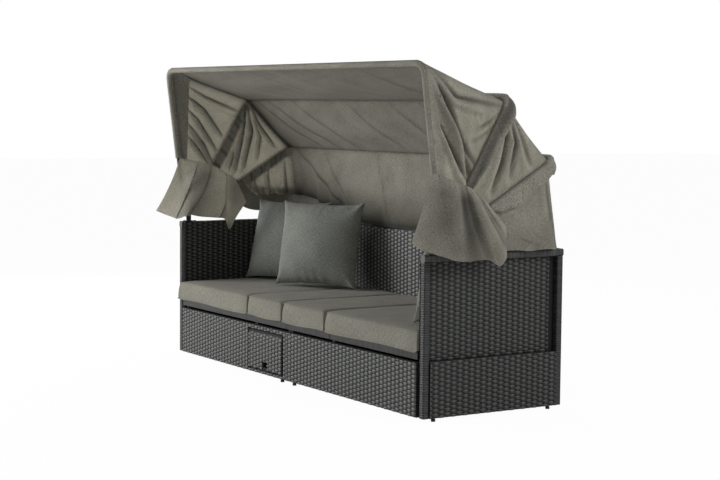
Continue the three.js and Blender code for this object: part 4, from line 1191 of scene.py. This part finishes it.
# %% [markdown]
# In the left rear corner the last span ends short, in scallops. A second, doubled layer hangs just
# outside it and goes further down, so a dark band shows under the bright hem. It is one sheet from
# the rear bow's leg round the corner and along the back, between two lines read off the photograph.

# %% Second layer
LAYER_STEPS = 110
LAYER_LENGTH, DOUBLED_CLOTH = 1.12, 0.0020


def second_layer():
    """A doubled band below the short hem, round the left rear corner."""
    top = smooth_line([(-1.121, -0.006, 0.872), (-1.121, 0.110, 0.858), (-1.122, 0.230, 0.846),
                       (-1.114, 0.325, 0.842), (-1.060, 0.366, 0.838), (-0.900, 0.3695, 0.825),
                       (-0.700, 0.370, 0.800), (-0.480, 0.370, 0.765), (-0.340, 0.370, 0.725)], LAYER_STEPS)
    hem = smooth_line([(-1.122, 0.004, 0.810), (-1.124, 0.070, 0.742), (-1.126, 0.160, 0.716),
                       (-1.124, 0.320, 0.714), (-1.066, 0.368, 0.710), (-0.900, 0.3695, 0.700),
                       (-0.700, 0.370, 0.690), (-0.480, 0.370, 0.684), (-0.340, 0.370, 0.682)], LAYER_STEPS)
    s = np.linspace(0, 1, LAYER_STEPS)
    rows = []
    for v in np.linspace(0, 1, 14):
        line = top * (1 - v) + hem * v
        line[:, 0] -= 0.004 * v * (1 + np.sin(44 * s)) * (s < 0.45)
        rows.append(line)
    return np.array(rows)


layer_grid = second_layer()
layer_piece = sheet_piece("left_rear_second_layer", layer_grid, DOUBLED_CLOTH, sleeve_cloth)
hang_between(layer_piece, "daybed", "rear_bow", spans["rear"][1])
print("second layer", round(grid_area(layer_grid), 3), "square metres")

# %% [markdown]
# A skirt falls from the seam of the side over the arm. It is wider than the seam it hangs from, so
# it flares and turns back on itself in folds. The top follows the seam and the hem follows points
# read off the photograph. The left one falls inside the bows' legs, the right one outside them.

# %% Skirts
SEAM_LIFT, SEAM_FORWARD = 0.010, 0.014
FOLD_SHADE, FOLD_SIDE_SHADE = 0.85, 0.26


def seam_run(sign, count):
    """The lower edge of the side, from the front bow past the middle one."""
    column = 0 if sign < 0 else -1
    front = spans["front"][1][:, column]
    middle = spans["middle"][1][:, column]
    last = int(len(middle) * (0.90 if sign < 0 else 0.48))
    run = smooth_line(np.vstack([front[::4], middle[4:last:4]]), count)
    if sign < 0:
        inside = -np.array([1.122, 1.104, 1.088])
        run[:, 0] = np.interp(np.linspace(0, 1, count), [0, 0.6, 1], inside)
    else:
        run[:, 0] = np.interp(np.linspace(0, 1, count), [0, 0.2, 0.55, 1], [1.157, 1.155, 1.147, 1.144])
        run[:, 2] += SEAM_LIFT
        run[:, 1] -= SEAM_FORWARD * np.exp(-np.linspace(0, 1, count) / 0.06)
    return run


def skirt(side, sign, hem, folds, seed, shades):
    """A flared sheet from the seam to the hem, with its folds and its shades.

    Both are given by where they start along the seam, how they slant, how wide they are, and how
    deep or how dark.
    """
    columns, rows = 150, 40
    top = seam_run(sign, columns)
    low = smooth_line(hem, columns)
    s = np.linspace(0, 1, columns)
    grid, darks = [], []
    for row in range(rows):
        v = row / (rows - 1)
        ease = v ** 1.12
        line = top * (1 - ease) + low * ease
        if sign < 0:
            turned_in = v ** 2.2 * (low[:, 0] < top[:, 0]) + v ** 0.8 * (low[:, 0] >= top[:, 0])
            line[:, 0] = top[:, 0] + (low[:, 0] - top[:, 0]) * turned_in
        wave, dark = np.zeros(columns), np.zeros(columns)
        for at, slant, width, depth in folds:
            u = (s - at + slant * v) / width
            wave += depth * np.exp(-(u / np.where(u < 0, 1.5, 0.5)) ** 2)
            if sign < 0:
                dark = np.maximum(dark, FOLD_SHADE * np.exp(-((u - 0.35) / 0.22) ** 2))
                dark = np.maximum(dark, FOLD_SIDE_SHADE * np.exp(-((u - 0.6) / 1.1) ** 2) * (u > 0.3))
        for at, slant, width, amount in shades:
            shade = amount * np.exp(-((s - at + slant * v) / width) ** 2)
            dark = np.maximum(dark, shade * (1 - 0.35 * v ** 4))
        dark = dark * min(1.0, 0.25 + 3 * v)
        fade = math.sin(math.pi * min(1, v * 1.15) / 2) * (1 - (0.25 if sign < 0 else 0.7) * v)
        line[:, 0] += sign * wave * fade
        line[:, 0] += sign * (0.0018 * np.sin(70 * s + seed) * math.exp(-v / 0.07) * min(1, v * 30)
                              + 0.002 * np.sin(19 * s + 3 * v + seed) * v)
        grid.append(line)
        darks.append(dark)
    grid = np.array(grid)
    piece = sheet_piece(f"{side}_skirt_cloth", grid, CLOTH, canopy_cloth, creases=np.array(darks))
    hang_between(piece, "middle_bow", "front_bow", spans["front"][1])
    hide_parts(f"{side}_skirt")
    flare = float(np.abs(grid[:, :, 0]).max())
    print(side, "skirt", round(grid_area(grid), 3), "square metres, flare", round(flare, 3))


right_hem = [(1.178, -0.418, 0.735), (1.182, -0.384, 0.710), (1.178, -0.326, 0.690), (1.172, -0.250, 0.668),
             (1.172, -0.202, 0.654), (1.172, -0.136, 0.648), (1.168, -0.077, 0.650), (1.170, -0.028, 0.648),
             (1.180, 0.010, 0.626), (1.186, 0.036, 0.668), (1.160, 0.055, 0.705), (1.150, 0.062, 0.780)]
left_hem = [(-1.220, -0.376, 0.722), (-1.165, -0.342, 0.700), (-1.085, -0.330, 0.688),
            (-1.040, -0.318, 0.704), (-1.030, -0.290, 0.712), (-1.026, -0.220, 0.699),
            (-1.024, -0.134, 0.692), (-1.020, -0.085, 0.682), (-1.026, -0.054, 0.630),
            (-1.016, -0.015, 0.700), (-1.018, 0.036, 0.768)]
right_folds = [(0.40, -0.02, 0.12, 0.030), (0.62, 0.0, 0.07, -0.052), (0.78, 0.0, 0.05, 0.030),
               (0.92, 0.0, 0.04, -0.016)]
left_folds = [(0.30, 0.12, 0.055, -0.045), (0.54, 0.22, 0.050, -0.045), (0.82, 0.24, 0.055, -0.045)]
right_shades = [(0.24, 0.0, 0.32, 0.62), (0.55, 0.02, 0.13, 1.0), (0.88, 0.0, 0.04, 0.5)]
left_shades = [(0.95, 0.1, 0.12, 0.35), (0.48, 0.14, 0.16, 0.45)]
skirt("right", 1, right_hem, right_folds, 0.4, right_shades)
skirt("left", -1, left_hem, left_folds, 1.9, left_shades)

# %% [markdown]
# The floor is a pale sheet. It keeps the soft shadow under the feet, and its camera rays are lifted
# to white, as the world's are, so the background is white without more light on the daybed.

# %% Floor and world
nothing_selected()
bpy.ops.mesh.primitive_plane_add(size=60, location=(0, 0, 0))
floor = bpy.context.object
floor.name = "floor"
paper, tree, shader = new_material("white_paper")
shader.inputs["Base Color"].default_value = linear("#f4f4f3")
shader.inputs["Roughness"].default_value = 0.9
rays = add(tree, "ShaderNodeLightPath")
lifted = add(tree, "ShaderNodeMath", {0: rays.outputs["Is Camera Ray"], 1: 0.97}, operation="MULTIPLY")
white = add(tree, "ShaderNodeEmission", {"Color": (1, 1, 1, 1), "Strength": 1.0})
mix_surface(tree, lifted.outputs[0], shader, white)
floor.data.materials.append(paper)

world = bpy.data.worlds.new("studio")
bpy.context.scene.world = world
world.use_nodes = True
sky = world.node_tree
sky.nodes.clear()
paths = add(sky, "ShaderNodeLightPath")
heading = add(sky, "ShaderNodeTexCoord")
parts = add(sky, "ShaderNodeSeparateXYZ", {0: heading.outputs["Generated"]})
level_light = add(sky, "ShaderNodeMapRange", {0: parts.outputs["Z"], 1: 0.1, 2: 0.8, 3: 0.68, 4: 0.22})
front_share = add(sky, "ShaderNodeMapRange", {0: parts.outputs["Y"], 1: -0.6, 2: 0.9, 3: 1.1, 4: 0.8})
factors = {0: level_light.outputs[0], 1: front_share.outputs[0]}
strength = add(sky, "ShaderNodeMath", factors, operation="MULTIPLY")
soft = add(sky, "ShaderNodeBackground", {"Color": (0.97, 0.98, 1.0, 1), "Strength": strength.outputs[0]})
bright = add(sky, "ShaderNodeBackground", {"Color": (1, 1, 1, 1), "Strength": 1.0})
sockets = {0: paths.outputs["Is Camera Ray"], 1: soft.outputs[0], 2: bright.outputs[0]}
either = add(sky, "ShaderNodeMixShader", sockets)
add(sky, "ShaderNodeOutputWorld", {"Surface": either.outputs[0]})
bpy.context.scene.view_settings.view_transform = "Standard"
print("floor and world made")

# %% [markdown]
# The light in the photograph comes from a wide panel in front of the daybed, to the left, so the
# fronts of the cushions and boards are the brightest surfaces. Two more panels, one at the left and
# one behind at the right, light the sides and shine through the cloth. The lamp above is faint.

# %% Studio lights
def panel_light(name, place, target, size, power):
    """A wide soft lamp that faces a point."""
    data = bpy.data.lights.new(name, "AREA")
    data.shape = "RECTANGLE"
    data.size, data.size_y = size
    data.energy = power
    lamp = bpy.data.objects.new(name, data)
    lamp.location = place
    lamp.rotation_euler = (Vector(target) - Vector(place)).to_track_quat("-Z", "Y").to_euler()
    bpy.context.collection.objects.link(lamp)
    return lamp


panel_light("front_panel_light", (-3.2, -3.9, 2.1), (-0.3, 0, 0.6), (3.0, 2.2), 174)
panel_light("side_panel_light", (4.4, 1.4, 3.2), (0.9, 0, 0.8), (2.6, 2.2), 85)
panel_light("left_panel_light", (-4.6, 0.8, 1.8), (-1.0, 0.1, 1.0), (2.4, 2.0), 116)
panel_light("top_panel_light", (0.3, -1.0, 4.6), (0, 0, 0.5), (4.0, 3.0), 7)
print("lights made")
